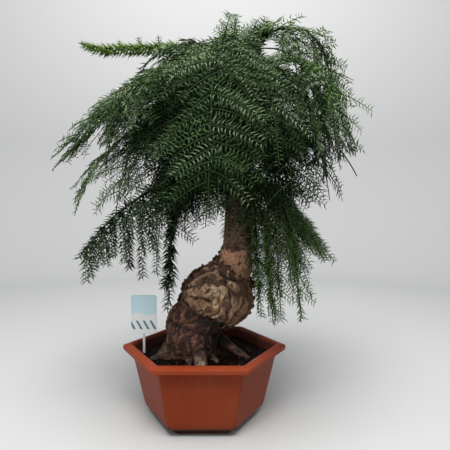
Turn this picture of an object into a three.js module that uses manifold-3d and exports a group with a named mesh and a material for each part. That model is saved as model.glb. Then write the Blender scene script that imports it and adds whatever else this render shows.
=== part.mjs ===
// A hoop pine bonsai: a gnarled trunk with a round burl, weeping boughs and needle foliage,
// planted in a hexagonal plastic pot with a small blank plant label in the soil.
// Millimetres and degrees. +Z is up, the front is -Y, and the origin is under the pot's centre, on the floor.

import * as THREE from "three";
import Module from "manifold-3d";

const wasm = await Module();
wasm.setup();

// Driving dimensions

const GAP = 0.3; // clearance between pieces that touch

const POT = {
  height: 129,
  rimCorner: 150, // centre to corner of the rim
  rimDrop: 4, // the rim's outer edge lies this much lower than its inner edge
  rimLip: 7,
  rimEdge: 1.5, // slope at the lip's lower edge
  mouthRound: 2,
  wallTop: 134, // centre to corner of the wall under the rim
  wallBase: 112, // the same where the wall begins to round in to the underside
  baseTop: 26,
  baseCorner: 97, // where the rounded foot of the wall meets the foot
  footCorner: 88,
  footHeight: 9,
  wall: 3,
  rounding: 10, // radius of the six upright edges
  edgeSteps: 2,
};

const SOIL = { level: 112, insideFall: 3 };

const LABEL = {
  centre: [-109, -8],
  width: 46,
  height: 70,
  thickness: 1,
  cardBase: 149, // height of the card's lower edge
  stickWidth: 4.4,
  stickThickness: 1.6,
  stickDepth: 24, // how far the stick goes into the soil
  corner: 3,
};

// The trunk's line from the ground to its tip, with its radius there.
const TRUNK = [
  { at: [-20, -8, 96], radius: 46 },
  { at: [-20, -8, 130], radius: 44 },
  { at: [-16, -8, 162], radius: 43 },
  { at: [2, -9, 194], radius: 49 },
  { at: [24, -8, 224], radius: 54 },
  { at: [44, -4, 252], radius: 42 },
  { at: [57, -1, 274], radius: 33 },
  { at: [60, 0, 298], radius: 30 },
  { at: [61, 0, 305], radius: 26.5 },
  { at: [61, 0, 337], radius: 25 },
  { at: [63, 0, 412], radius: 21.5 },
  { at: [66, 1, 492], radius: 18 },
  { at: [70, 2, 572], radius: 14 },
  { at: [72, 3, 624], radius: 10.5 },
  { at: [72, 4, 654], radius: 6 },
];
const COLUMN_START = 8; // first station of the straight upper trunk, over the collar on its neck
const TRUNK_SIDES = 12;
const TRUNK_RIPPLE = 0.04;

// Swellings on the trunk: the burl, the lump over the roots and the shoulder on its left.
const SWELLINGS = [
  { at: [23, -12, 214], size: [65, 62, 55], ripple: 0.04, phase: 0.4 },
  { at: [-20, -14, 140], size: [46, 50, 42], ripple: 0.05, phase: 2.1 },
  { at: [-40, -4, 158], size: [27, 34, 46], ripple: 0.05, phase: 1.2 },
];
const SWELLING_SIDES = 13;
const SWELLING_RINGS = 8;

// Surface roots that spread from the foot of the trunk into the soil.
const ROOTS = [
  { heading: 268, from: 20, reach: 88, radius: 17, rise: 20 },
  { heading: 352, from: 24, reach: 106, radius: 14, rise: 24 },
  { heading: 305, from: 24, reach: 78, radius: 10, rise: 12 },
  { heading: 212, from: 26, reach: 70, radius: 13, rise: 16 },
  { heading: 128, from: 24, reach: 76, radius: 14, rise: 18 },
  { heading: 48, from: 24, reach: 84, radius: 13, rise: 16 },
];
const ROOT = {
  heart: [-20, -8], // the roots' common centre
  sides: 6,
  steps: 4,
  bend: 14, // degrees by which a root winds to and fro
  taper: 0.42, // radius at its end against its start
  sink: 0.5, // share of its radius by which its end goes into the soil
};

// A dead stub on the right of the burl.
const STUB = { at: [72, -4, 228], heading: 8, rise: 18, droop: 10, length: 42, radius: 6, tipRadius: 2.4 };
const STUB_STEPS = 3;
const STUB_SIDES = 6;

// One row for each limb. It leaves the trunk's axis at a height, heading and rise, bends down by droop
// degrees in each 100 mm until it hangs at a steady angle, and ends after its length. Twig is its longest
// branchlet.
// Needled, spread and fall are given where a limb's leafy tip or the set of its branchlets is its own.
const LIMBS = {
  left_shoot: {
    height: 602, heading: 173, rise: 25, droop: 6, hang: 6, length: 312, twig: 34,
    needled: 190,
  },
  left_upper: { height: 624, heading: 224, rise: 62, droop: 60, hang: -70, length: 225, twig: 80 },
  right_top: { height: 606, heading: 348, rise: 82, droop: 60, hang: -82, length: 378, twig: 84 },
  left_top: { height: 616, heading: 185, rise: 18, droop: 21, hang: -85, length: 385, twig: 104 },
  back_top: { height: 612, heading: 82, rise: 45, droop: 42, hang: -80, length: 360, twig: 100 },
  front_top: { height: 598, heading: 259, rise: 46, droop: 44, hang: -82, length: 380, twig: 104 },
  right_back_top: { height: 592, heading: 33, rise: 52, droop: 50, hang: -80, length: 342, twig: 96 },
  left_back_top: { height: 586, heading: 140, rise: 38, droop: 32, hang: -80, length: 357, twig: 100 },
  left_front_top: { height: 580, heading: 224, rise: 36, droop: 32, hang: -80, length: 355, twig: 104 },
  right_front_top: { height: 576, heading: 308, rise: 52, droop: 50, hang: -82, length: 337, twig: 96 },
  left_middle: { height: 537, heading: 198, rise: 16, droop: 22, hang: -78, length: 340, twig: 108 },
  front_right_middle: { height: 528, heading: 290, rise: 15, droop: 38, hang: -82, length: 295, twig: 96 },
  back_middle: { height: 522, heading: 108, rise: 12, droop: 32, hang: -80, length: 300, twig: 98 },
  front_left_middle: { height: 515, heading: 240, rise: 15, droop: 36, hang: -82, length: 280, twig: 96 },
  right_middle: { height: 512, heading: 352, rise: 25, droop: 52, hang: -82, length: 205, twig: 84 },
  left_hanging: { height: 469, heading: 209, rise: 0, droop: 43, hang: -87, length: 338, twig: 40 },
  right_back_low: { height: 462, heading: 55, rise: -5, droop: 34, hang: -80, length: 300, twig: 94 },
  back_low: { height: 456, heading: 132, rise: 0, droop: 24, hang: -70, length: 300, twig: 98 },
  left_low: {
    height: 452, heading: 182, rise: -2, droop: 16, hang: -56, length: 336, twig: 112,
    spread: 45, fall: 42,
  },
  right_low: {
    height: 450, heading: 12, rise: -30, droop: 12, hang: -70, length: 232, twig: 90,
    spread: 40,
  },
  right_front_low: { height: 440, heading: 322, rise: -15, droop: 38, hang: -82, length: 288, twig: 84 },
  right_hanging: { height: 428, heading: 338, rise: -40, droop: 40, hang: -85, length: 254, twig: 62 },
};
const LEADER = { heading: 75, rise: 82, droop: 46, hang: -60, length: 94, twig: 66, needled: 28, radius: 3 };

const BOUGH = { share: 0.2, rootRadius: 5.4, rootShare: 0.55, tipRadius: 3.2, sides: 5, steps: 3 };
const STEM = { tipRadius: 1.8, steps: 6, sides: 4, needled: 44 }; // needled is the length of its leafy tip
const SPRAY = {
  count: 9, // branchlets on one stem
  spread: 58, // angle between a branchlet and its stem, seen from above
  around: 137.5, // angle between one branchlet and the next round an upright stem
  follow: 0.45, // share of its stem's rise that a branchlet sets out with
  fall: 6, // how much lower than that it sets out
  droop: 44,
  hang: -82,
  jitter: 9, // degrees
  vary: 0.12, // share by which a branchlet's length varies
  roll: 60, // degrees by which its needles are turned about it
  lastLength: 0.62, // length of a stem's last branchlet against its first
  lastNeedle: 0.75, // the same for a branchlet's needles
  fewest: 4, // a branchlet with fewer needles is left out
  step: 12, // distance between needles
  needle: 22,
  lean: 46, // angle between a needle and its branchlet
  narrow: 0.5, // share of a step by which a needle's foot is drawn together on each side
  core: 1.3,
  tipCore: 0.8,
  tipInset: 6, // how far the needled tip reaches back into the bare stem
};
const LINE_STEPS = 14; // straight pieces that stand for a drooping line where distances are measured
const CLEAR = 2.2; // distance that foliage keeps from the next mass's space
const TRUNK_CLEAR = 5;
const SEED = 20;

const COLOURS = {
  pot: { color: 0xa8452a, roughness: 0.45 },
  soil: { color: 0x1f1713, roughness: 0.95 },
  bark: { color: 0x6d5140, roughness: 0.9 },
  bough: { color: 0x4c4030, roughness: 0.85 },
  needle: { color: 0x2f5330, roughness: 0.6 },
  label: { color: 0xc9dde2, roughness: 0.5 },
};

// Numbers, points and frames

const rad = THREE.MathUtils.degToRad;
const vec = (p) => new THREE.Vector3(p[0], p[1], p[2]);
const mix = THREE.MathUtils.lerp;

// A seeded source of numbers from 0 to 1.
function randomFrom(seed) {
  let state = seed >>> 0;
  return () => {
    state = (state + 0x6d2b79f5) >>> 0;
    let t = Math.imul(state ^ (state >>> 15), 1 | state);
    t = (t + Math.imul(t ^ (t >>> 7), 61 | t)) ^ t;
    return ((t ^ (t >>> 14)) >>> 0) / 4294967296;
  };
}

function direction(heading, rise) {
  const level = Math.cos(rad(rise));
  return new THREE.Vector3(
    level * Math.cos(rad(heading)),
    level * Math.sin(rad(heading)),
    Math.sin(rad(rise)),
  );
}

// The rise of a drooping line after a distance along it.
function riseAt(line, distance) {
  return Math.max(line.hang, line.rise - (line.droop * distance) / 100);
}

// Points along a drooping line, from one distance to another. The line stays in one upright plane.
function drooping(line, from, to, steps) {
  const fine = 4;
  const points = [];
  const point = line.start.clone();
  const lead = Math.max(1, Math.round((from / Math.max(to - from, 1)) * steps)) * fine;
  const advance = (start, end, parts) => {
    const length = (end - start) / parts;
    for (let i = 0; i < parts; i++)
      point.addScaledVector(direction(line.heading, riseAt(line, start + (i + 0.5) * length)), length);
  };
  if (from > 0) advance(0, from, lead);
  points.push(point.clone());
  for (let i = 0; i < steps; i++) {
    advance(mix(from, to, i / steps), mix(from, to, (i + 1) / steps), fine);
    points.push(point.clone());
  }
  return points;
}

// The point of a drooping line after a distance along it.
function pointAt(line, distance) {
  return drooping(line, 0, distance, LINE_STEPS).at(-1);
}

// The trunk's centre and radius at a height of the upper trunk.
function trunkAt(height) {
  const next = Math.max(TRUNK.findIndex((s) => s.at[2] >= height), COLUMN_START);
  const [a, b] = [TRUNK[next - 1], TRUNK[next]];
  const t = (height - a.at[2]) / (b.at[2] - a.at[2]);
  return { centre: vec(a.at).lerp(vec(b.at), t), radius: mix(a.radius, b.radius, t) };
}

// Solids

// Joins rings of points into a closed solid, with the shorter diagonal across each four-sided face.
// A ring of one point closes that end, and other ends get a fan.
function loft(rings) {
  const points = [];
  const faces = [];
  const starts = rings.map((ring) => {
    const first = points.length / 3;
    for (const p of ring) points.push(p.x, p.y, p.z);
    return first;
  });
  for (let r = 0; r + 1 < rings.length; r++) {
    const [a, b] = [starts[r], starts[r + 1]];
    const [na, nb] = [rings[r].length, rings[r + 1].length];
    const n = Math.max(na, nb);
    for (let i = 0; i < n; i++) {
      const j = (i + 1) % n;
      if (na === 1) faces.push(a, b + j, b + i);
      else if (nb === 1) faces.push(a + i, a + j, b);
      else if (rings[r][i].distanceTo(rings[r + 1][j]) < rings[r][j].distanceTo(rings[r + 1][i]))
        faces.push(a + i, a + j, b + j, a + i, b + j, b + i);
      else faces.push(a + i, a + j, b + i, a + j, b + j, b + i);
    }
  }
  const cap = (ring, first, turned) => {
    for (let i = 1; i + 1 < ring.length; i++)
      faces.push(first, first + (turned ? i + 1 : i), first + (turned ? i : i + 1));
  };
  cap(rings[0], starts[0], true);
  cap(rings.at(-1), starts.at(-1), false);
  const build = (triVerts) =>
    new wasm.Manifold(
      new wasm.Mesh({
        numProp: 3,
        vertProperties: new Float32Array(points),
        triVerts: new Uint32Array(triVerts),
      }),
    );
  const made = build(faces);
  if (made.volume() > 0) return made;
  const turned = faces.map((v, i) => faces[i - (i % 3) + [0, 2, 1][i % 3]]);
  return build(turned);
}

// A ring of points round a centre, in the plane of two unit vectors.
function ringOf(centre, across, other, radius, sides, ripple = () => 1) {
  return Array.from({ length: sides }, (_, i) => {
    const a = (i / sides) * 2 * Math.PI;
    const r = radius * ripple(a);
    return centre
      .clone()
      .addScaledVector(across, r * Math.cos(a))
      .addScaledVector(other, r * Math.sin(a));
  });
}

// A tapering round limb through points, with a radius at each.
function limbThrough(points, radii, sides, ripple) {
  const rings = points.map((p, i) => {
    const along = points[Math.min(i + 1, points.length - 1)]
      .clone()
      .sub(points[Math.max(i - 1, 0)])
      .normalize();
    const across = new THREE.Vector3(0, 1, 0).cross(along).normalize();
    if (across.lengthSq() < 0.5) across.set(1, 0, 0);
    const other = along.clone().cross(across);
    return ringOf(p, across, other, radii[i], sides, ripple && ((a) => ripple(a, i)));
  });
  return loft(rings);
}

// A drooping line as a tapering limb.
function droopingLimb(line, from, to, steps, sides, startRadius, endRadius) {
  const points = drooping(line, from, to, steps);
  const side = new THREE.Vector3(Math.sin(rad(line.heading)), -Math.cos(rad(line.heading)), 0);
  const rings = points.map((p, i) => {
    const along = direction(line.heading, riseAt(line, mix(from, to, i / steps)));
    return ringOf(p, side, side.clone().cross(along), mix(startRadius, endRadius, i / steps), sides);
  });
  return loft(rings);
}

function boxFrom(low, high) {
  const level = (z) => [
    new THREE.Vector3(low[0], low[1], z),
    new THREE.Vector3(high[0], low[1], z),
    new THREE.Vector3(high[0], high[1], z),
    new THREE.Vector3(low[0], high[1], z),
  ];
  return loft([level(low[2]), level(high[2])]);
}

function joined(solids) {
  return solids.reduce((sum, s) => sum.add(s));
}

// The largest body of a solid, so that a loose scrap is dropped.
function largest(solid) {
  return solid.decompose().reduce((a, b) => (b.volume() > a.volume() ? b : a));
}

function meshOf(name, solid, look) {
  const { vertProperties, triVerts } = solid.getMesh();
  const shape = new THREE.BufferGeometry();
  shape.setAttribute("position", new THREE.BufferAttribute(new Float32Array(vertProperties), 3));
  shape.setIndex(new THREE.BufferAttribute(new Uint32Array(triVerts), 1));
  const mesh = new THREE.Mesh(
    shape,
    new THREE.MeshStandardMaterial({ ...look, metalness: 0, flatShading: true }),
  );
  mesh.name = name;
  return mesh;
}

// Pot and soil

// A level hexagon with rounded corners, two of them on the X axis.
function hexagon(corner, height, rounding) {
  const ring = [];
  const centre = corner - rounding / Math.cos(rad(30));
  for (let c = 0; c < 6; c++)
    for (let s = 0; s <= POT.edgeSteps; s++) {
      const a = rad(60 * c);
      const turn = a + rad(mix(-30, 30, s / POT.edgeSteps));
      ring.push(
        new THREE.Vector3(
          centre * Math.cos(a) + rounding * Math.cos(turn),
          centre * Math.sin(a) + rounding * Math.sin(turn),
          height,
        ),
      );
    }
  return ring;
}

const underRim = POT.height - POT.rimDrop - POT.rimLip;
const wallSlope = (POT.wallTop - POT.wallBase) / (underRim - POT.baseTop);
const wallAt = (z) => POT.wallBase + wallSlope * (z - POT.baseTop);
const acrossFlats = Math.cos(rad(30));

// Centre-to-corner sizes and heights up the outside of the pot, from its flat underside to the rim's lip.
function outside() {
  const { footHeight, baseTop, baseCorner, wallBase } = POT;
  return [
    [POT.footCorner, 0],
    [POT.footCorner + 1, footHeight],
    [baseCorner, footHeight],
    [mix(baseCorner, wallBase, 0.7), mix(footHeight, baseTop, 0.35)],
    [wallBase, baseTop],
    [wallAt(underRim), underRim],
  ];
}

// The same up the inside, one wall in from the outside.
function inside(slack) {
  const inset = (POT.wall + slack) / acrossFlats;
  const rise = POT.wall + slack;
  const [foot, step, base, curve, wall] = outside();
  return [
    [foot[0] - inset, foot[1] + rise],
    [step[0] - inset, step[1] + rise],
    [base[0] - inset, base[1] + rise],
    [curve[0] - inset, curve[1] + rise / 2],
    [wall[0] - inset, wall[1]],
  ];
}

function pot() {
  const { height, rounding, rimCorner, rimEdge, mouthRound } = POT;
  const inner = rounding - POT.wall;
  const mouth = (z) => wallAt(z) - POT.wall / acrossFlats;
  const rings = [
    ...outside().map(([corner, z]) => hexagon(corner, z, rounding)),
    hexagon(rimCorner - rimEdge, underRim, rounding / 2),
    hexagon(rimCorner, underRim + rimEdge, rounding / 2),
    hexagon(rimCorner, height - POT.rimDrop, rounding / 2),
    hexagon(mouth(height) + mouthRound, height, rounding),
    hexagon(mouth(height - mouthRound), height - mouthRound, inner),
    ...inside(0).reverse().map(([corner, z]) => hexagon(corner, z, inner)),
  ];
  return loft(rings);
}

function soil(stick) {
  const inner = POT.rounding - POT.wall;
  const edge = SOIL.level - SOIL.insideFall;
  const topCorner = wallAt(edge) - (POT.wall + GAP) / acrossFlats;
  const plug = loft([
    ...inside(GAP).map(([corner, z]) => hexagon(corner, z, inner)),
    hexagon(topCorner, edge, inner),
    hexagon(topCorner - SOIL.insideFall, SOIL.level, inner),
  ]);
  return plug.subtract(stick);
}

// The blank label's card and stick, or with slack the room that the stick takes in the soil.
function labelStick(slack) {
  const [x, y] = LABEL.centre;
  const [w, t] = [LABEL.stickWidth / 2 + slack, LABEL.stickThickness / 2 + slack];
  return boxFrom(
    [x - w, y - t, SOIL.level - LABEL.stickDepth - slack],
    [x + w, y + t, LABEL.cardBase + LABEL.height / 2],
  );
}

function label() {
  const [x, y] = LABEL.centre;
  const [w, c] = [LABEL.width / 2, LABEL.corner];
  const [low, high] = [LABEL.cardBase, LABEL.cardBase + LABEL.height];
  const outline = [
    [x - w + c, low], [x + w - c, low], [x + w, low + c], [x + w, high - c],
    [x + w - c, high], [x - w + c, high], [x - w, high - c], [x - w, low + c],
  ];
  const face = y - LABEL.stickThickness / 2 - LABEL.thickness / 2;
  const sheet = (depth) => outline.map(([px, pz]) => new THREE.Vector3(px, depth, pz));
  const card = loft([sheet(face), sheet(face + LABEL.thickness)]);
  return card.add(labelStick(0));
}

// Trunk

const ripples = (amount, phase) => (a, i) =>
  1 + amount * (Math.sin(2 * a + phase + 0.5 * i) + 0.7 * Math.sin(5 * a - phase + 0.9 * i));

function trunkColumn(extra) {
  const points = TRUNK.map((s) => vec(s.at));
  const radii = TRUNK.map((s) => s.radius + extra);
  return limbThrough(points, radii, TRUNK_SIDES, ripples(TRUNK_RIPPLE, 0.8));
}

function swelling({ at, size, ripple, phase }) {
  const shape = ripples(ripple, phase);
  const rings = [];
  for (let r = 0; r <= SWELLING_RINGS; r++) {
    const polar = -90 + (180 * r) / SWELLING_RINGS;
    const level = Math.cos(rad(polar));
    const height = at[2] + size[2] * Math.sin(rad(polar));
    if (r === 0 || r === SWELLING_RINGS) {
      rings.push([new THREE.Vector3(at[0], at[1], height)]);
      continue;
    }
    rings.push(
      Array.from({ length: SWELLING_SIDES }, (_, i) => {
        const a = (i / SWELLING_SIDES) * 2 * Math.PI;
        const grow = level * shape(a, r);
        return new THREE.Vector3(
          at[0] + size[0] * grow * Math.cos(a),
          at[1] + size[1] * grow * Math.sin(a),
          height,
        );
      }),
    );
  }
  return loft(rings);
}

function root({ heading, from, reach, radius, rise }) {
  const points = [];
  const radii = [];
  for (let i = 0; i <= ROOT.steps; i++) {
    const t = i / ROOT.steps;
    const out = mix(from, reach, t);
    const bend = rad(heading + ROOT.bend * Math.sin(Math.PI * t));
    points.push(
      new THREE.Vector3(
        ROOT.heart[0] + out * Math.cos(bend),
        ROOT.heart[1] + out * Math.sin(bend),
        SOIL.level + rise * (1 - t) ** 1.5 - radius * ROOT.sink * t,
      ),
    );
    radii.push(radius * mix(1, ROOT.taper, t));
  }
  return limbThrough(points, radii, ROOT.sides);
}

function stub() {
  const line = { ...STUB, start: vec(STUB.at), hang: -90 };
  return droopingLimb(line, 0, STUB.length, STUB_STEPS, STUB_SIDES, STUB.radius, STUB.tipRadius);
}

function trunk() {
  const ground = SOIL.level + GAP;
  const [wide, top] = [2 * POT.rimCorner, TRUNK.at(-1).at[2] + 1];
  const above = boxFrom([-wide, -wide, ground], [wide, wide, top]);
  const pieces = [trunkColumn(0), ...SWELLINGS.map(swelling), ...ROOTS.map(root), stub()];
  return largest(joined(pieces).intersect(above));
}

// Boughs and foliage

const limbLines = Object.entries(LIMBS).map(([name, limb]) => ({
  ...limb,
  name,
  start: trunkAt(limb.height).centre,
}));
limbLines.push({
  ...LEADER,
  name: "leader",
  start: vec(TRUNK.at(-1).at).add(new THREE.Vector3(0, 0, GAP)),
  grows: "trunk",
});
const limbPoints = limbLines.map((line) => drooping(line, 0, line.length, LINE_STEPS));

// The shortest distance from a point to a chain of points.
function distanceTo(point, chain) {
  const nearest = new THREE.Vector3();
  const piece = new THREE.Line3();
  let best = Infinity;
  for (let i = 0; i + 1 < chain.length; i++) {
    piece.set(chain[i], chain[i + 1]).closestPointToPoint(point, true, nearest);
    best = Math.min(best, nearest.distanceTo(point));
  }
  return best;
}

// A mass's own space holds the points that lie nearer to its limb than to any other, clear of the trunk.
function inSpace(point, owner) {
  const own = distanceTo(point, limbPoints[owner]);
  const free = limbPoints.every((chain, i) => i === owner || distanceTo(point, chain) > own + 2 * CLEAR);
  const solids = [
    ...TRUNK.map((s) => [vec(s.at), s.radius]),
    ...SWELLINGS.map((s) => [vec(s.at), Math.max(...s.size)]),
  ];
  return free && solids.every(([centre, radius]) => centre.distanceTo(point) > radius + TRUNK_CLEAR);
}

// A branchlet: a slim three-edged core along a drooping line, with needles that stand out of each edge in
// turn. It ends before it would leave its mass's space, and a needle that would leave it is left out.
function spray(line, owner, roll) {
  const count = Math.max(SPRAY.fewest, Math.round(line.length / SPRAY.step));
  const spacing = line.length / count;
  const points = drooping(line, 0, line.length, count);
  const side = new THREE.Vector3(Math.sin(rad(line.heading)), -Math.cos(rad(line.heading)), 0);
  const rings = [];
  for (let i = 0; i < count; i++) {
    if (i > 1 && !inSpace(points[i], owner)) break;
    const t = i / count;
    const along = direction(line.heading, riseAt(line, t * line.length));
    const across = side.clone().applyAxisAngle(along, rad(roll));
    const core = mix(SPRAY.core, SPRAY.tipCore, t);
    const ring = ringOf(points[i], across, along.clone().cross(across), core, 3);
    const edge = (3 - (i % 3)) % 3;
    const long = SPRAY.needle * mix(1, SPRAY.lastNeedle, t);
    const tip = ring[edge]
      .clone()
      .sub(points[i])
      .normalize()
      .multiplyScalar(long * Math.sin(rad(SPRAY.lean)))
      .addScaledVector(along, long * Math.cos(rad(SPRAY.lean)))
      .add(points[i]);
    if (i > 0) {
      ring[(edge + 2) % 3].addScaledVector(along, SPRAY.narrow * spacing);
      ring[(edge + 1) % 3].addScaledVector(along, -SPRAY.narrow * spacing);
      if (inSpace(tip, owner)) ring[edge] = tip;
    }
    rings.push(ring);
  }
  if (rings.length < SPRAY.fewest) return null;
  rings.push([points[rings.length]]);
  return loft(rings);
}

// The branchlet lines of a stem, on alternate sides, each with its length.
function branchlets(line, from, to, random) {
  const lines = [];
  const wander = (amount) => amount * (2 * random() - 1);
  for (let k = 0; k < SPRAY.count; k++) {
    const share = (k + 0.5) / SPRAY.count;
    const distance = mix(from, to, share);
    const sideways = (k % 2 ? 1 : -1) * (line.spread ?? SPRAY.spread);
    const aside = line.grows === "trunk" ? SPRAY.around * k : sideways;
    lines.push({
      start: pointAt(line, distance),
      heading: line.heading + aside + wander(SPRAY.jitter),
      rise: SPRAY.follow * riseAt(line, distance) - (line.fall ?? SPRAY.fall) + wander(SPRAY.jitter),
      droop: SPRAY.droop,
      hang: SPRAY.hang,
      length: line.twig * mix(1, SPRAY.lastLength, share) * (1 + wander(SPRAY.vary)),
      roll: wander(SPRAY.roll),
    });
  }
  return lines;
}

function foliage(line, owner) {
  const random = randomFrom(SEED + owner);
  const from = line.grows === "trunk" ? 0 : line.length * BOUGH.share + GAP;
  const startRadius = line.grows === "trunk" ? LEADER.radius : BOUGH.tipRadius;
  const plainEnd = line.length - (line.needled ?? STEM.needled);
  const stem = droopingLimb(line, from, plainEnd, STEM.steps, STEM.sides, startRadius, STEM.tipRadius);
  const tipFrom = plainEnd - SPRAY.tipInset;
  const tipLine = {
    ...line,
    start: pointAt(line, tipFrom),
    rise: riseAt(line, tipFrom),
    length: line.length - tipFrom,
  };
  const sprays = branchlets(line, from, plainEnd, random).map((b) => spray(b, owner, b.roll));
  sprays.push(spray(tipLine, owner, 0));
  return largest(joined([stem, ...sprays.filter(Boolean)]));
}

function bough(line, column) {
  const rootRadius = Math.min(BOUGH.rootRadius, BOUGH.rootShare * trunkAt(line.height).radius);
  const whole = droopingLimb(
    line, 0, line.length * BOUGH.share, BOUGH.steps, BOUGH.sides, rootRadius, BOUGH.tipRadius,
  );
  return largest(whole.subtract(column));
}

// Assembly

const tree = new THREE.Group();
tree.add(meshOf("pot", pot(), COLOURS.pot));
tree.add(meshOf("soil", soil(labelStick(GAP)), COLOURS.soil));
tree.add(meshOf("plant_label", label(), COLOURS.label));
tree.add(meshOf("trunk", trunk(), COLOURS.bark));

const column = trunkColumn(GAP);
limbLines.forEach((line, owner) => {
  if (line.grows !== "trunk") tree.add(meshOf(`bough_${line.name}`, bough(line, column), COLOURS.bough));
  tree.add(meshOf(`foliage_${line.name}`, foliage(line, owner), COLOURS.needle));
});

export default tree;
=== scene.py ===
"""A hoop pine bonsai in a hexagonal plastic pot: the looks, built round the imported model.

Sizes are millimetres and degrees until a mesh is made, which is in metres. +Z is up and the front is -Y.
"""

import logging
import math
from dataclasses import dataclass, field, replace
from enum import Enum
from typing import Any, Callable, Iterable, Sequence

import bmesh
import bpy
import numpy as np
from bpy.types import Material, Mesh, Node, NodeSocket, NodeTree, Object
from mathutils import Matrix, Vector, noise


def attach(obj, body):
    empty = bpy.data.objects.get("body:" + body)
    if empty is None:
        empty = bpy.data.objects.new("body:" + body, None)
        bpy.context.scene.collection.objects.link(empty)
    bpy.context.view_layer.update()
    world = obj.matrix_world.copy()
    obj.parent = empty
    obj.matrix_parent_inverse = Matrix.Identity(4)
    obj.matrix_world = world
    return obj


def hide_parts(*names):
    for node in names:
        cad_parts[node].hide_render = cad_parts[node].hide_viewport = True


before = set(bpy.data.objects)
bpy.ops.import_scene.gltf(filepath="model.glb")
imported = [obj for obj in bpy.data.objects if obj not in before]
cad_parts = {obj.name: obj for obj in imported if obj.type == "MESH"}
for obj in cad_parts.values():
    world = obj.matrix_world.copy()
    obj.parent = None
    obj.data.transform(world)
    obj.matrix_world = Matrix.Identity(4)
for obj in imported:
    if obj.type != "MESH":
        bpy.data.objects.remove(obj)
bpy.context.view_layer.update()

LOG = logging.getLogger("bonsai")
MM = 0.001
BODY = "root"
GOLDEN_ANGLE = 137.5

# A hexagon's width from side to side over its width from corner to corner.
SIDE_SHARE = math.cos(math.radians(30))

# Level to the back, and straight up.
BACK = np.array((0.0, 1.0, 0.0))
UP = np.array((0.0, 0.0, 1.0))

Array = np.ndarray
Pair = tuple[float, float]
Colour = tuple[float, float, float]
Point = tuple[float, float, float]


# Numbers and directions


def mix(first: Any, last: Any, share: Any) -> Any:
    """Returns the value that lies a share of the way from first to last."""
    return first + (last - first) * share


def ease(value: Array, low: float, high: float) -> Array:
    """Returns a smooth step from 0 at low to 1 at high."""
    share = np.clip((value - low) / (high - low), 0, 1)
    return share * share * (3 - 2 * share)


def bell(distance: Array) -> Array:
    """Returns 1 at no distance, falling smoothly towards 0 past a distance of one."""
    return np.exp(-(distance**2))


def unit(vectors: Array) -> Array:
    """Returns vectors of length one."""
    return vectors / np.maximum(np.linalg.norm(vectors, axis=-1, keepdims=True), 1e-9)


def direction(heading: Any, rise: Any) -> Array:
    """Unit vectors for angles in degrees.

    Args:
        heading: the turn from +X towards +Y.
        rise: the angle above the level.

    Returns:
        The vectors.
    """
    turn, lift = np.radians(heading), np.radians(rise)
    level = np.cos(lift)
    parts = np.broadcast_arrays(level * np.cos(turn), level * np.sin(turn), np.sin(lift))
    return np.stack(parts, axis=-1)


def noise_at(points: Array, grain: float, shift: float = 0.0) -> Array:
    """Returns smooth noise at points, from -1 to 1, by its grain and a shift of its pattern."""
    return np.array([noise.noise(place) for place in (points / grain + shift).tolist()])


def distance_to_path(points: Array, path: Sequence[Sequence[float]]) -> Array:
    """Distances to a path of straight pieces, in as many axes as it has.

    Args:
        points: the points, one a row.
        path: the path's corners.

    Returns:
        The distance of each point.
    """
    best = np.full(len(points), np.inf)
    for first, last in zip(path, path[1:]):
        start, span = np.array(first, float), np.array(last, float) - np.array(first, float)
        share = np.clip((points - start) @ span / (span @ span), 0, 1)
        best = np.minimum(best, np.linalg.norm(points - start - share[:, None] * span, axis=1))
    return best


class SeededNumbers:
    """The seeded source of numbers that the part's solids grow by."""

    WRAP = 0xFFFFFFFF
    STEP = 0x6D2B79F5

    def __init__(self, seed: int) -> None:
        """Starts the row of numbers at a seed."""
        self.state = seed & self.WRAP

    def next(self) -> float:
        """Draws the next number.

        Returns:
            A number from 0 to 1.
        """
        self.state = (self.state + self.STEP) & self.WRAP
        value = ((self.state ^ (self.state >> 15)) * (1 | self.state)) & self.WRAP
        value = (value + (((value ^ (value >> 7)) * (61 | value)) & self.WRAP)) & self.WRAP ^ value
        return ((value ^ (value >> 14)) & self.WRAP) / 2**32

    def wander(self, amount: float) -> float:
        """Returns the next number, from minus amount to amount."""
        return amount * (2 * self.next() - 1)


# Meshes


@dataclass
class Shape:
    """Points in millimetres and the faces between them."""

    points: Array
    faces: list[tuple[int, ...]]

    @staticmethod
    def joined(shapes: Iterable["Shape"]) -> "Shape":
        """Joins several shapes into one, each still apart.

        Args:
            shapes: the shapes.

        Returns:
            The one shape.
        """
        points, faces, first = [], [], 0
        for shape in shapes:
            points.append(shape.points)
            faces += [tuple(corner + first for corner in face) for face in shape.faces]
            first += len(shape.points)
        return Shape(np.vstack(points), faces)

    def object(self, name: str) -> Object:
        """Makes the shape an object at the origin, with its faces turned outwards.

        Args:
            name: the piece's name.

        Returns:
            The new object.
        """
        mesh = bpy.data.meshes.new(name)
        mesh.from_pydata((self.points * MM).tolist(), [], self.faces)
        work = bmesh.new()
        work.from_mesh(mesh)
        bmesh.ops.recalc_face_normals(work, faces=work.faces)
        work.to_mesh(mesh)
        work.free()
        return linked(name, mesh)


def linked(name: str, mesh: Mesh) -> Object:
    """Puts a mesh into the scene.

    Args:
        name: the object's name.
        mesh: its mesh.

    Returns:
        The new object.
    """
    made = bpy.data.objects.new(name, mesh)
    bpy.context.scene.collection.objects.link(made)
    return made


def loft(rings: Array) -> Shape:
    """Joins rings of equally many points into a closed shape.

    Args:
        rings: an array of rings by points by three axes.

    Returns:
        The shape, with a flat face at each end.
    """
    count, sides, _ = rings.shape
    index = np.arange(count * sides).reshape(count, sides)
    after = np.roll(index, -1, axis=1)
    walls = np.stack([index[:-1], after[:-1], after[1:], index[1:]], axis=-1).reshape(-1, 4)
    faces = [tuple(face) for face in walls.tolist()]
    faces += [tuple(index[0, ::-1].tolist()), tuple(index[-1].tolist())]
    return Shape(rings.reshape(-1, 3), faces)


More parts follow.
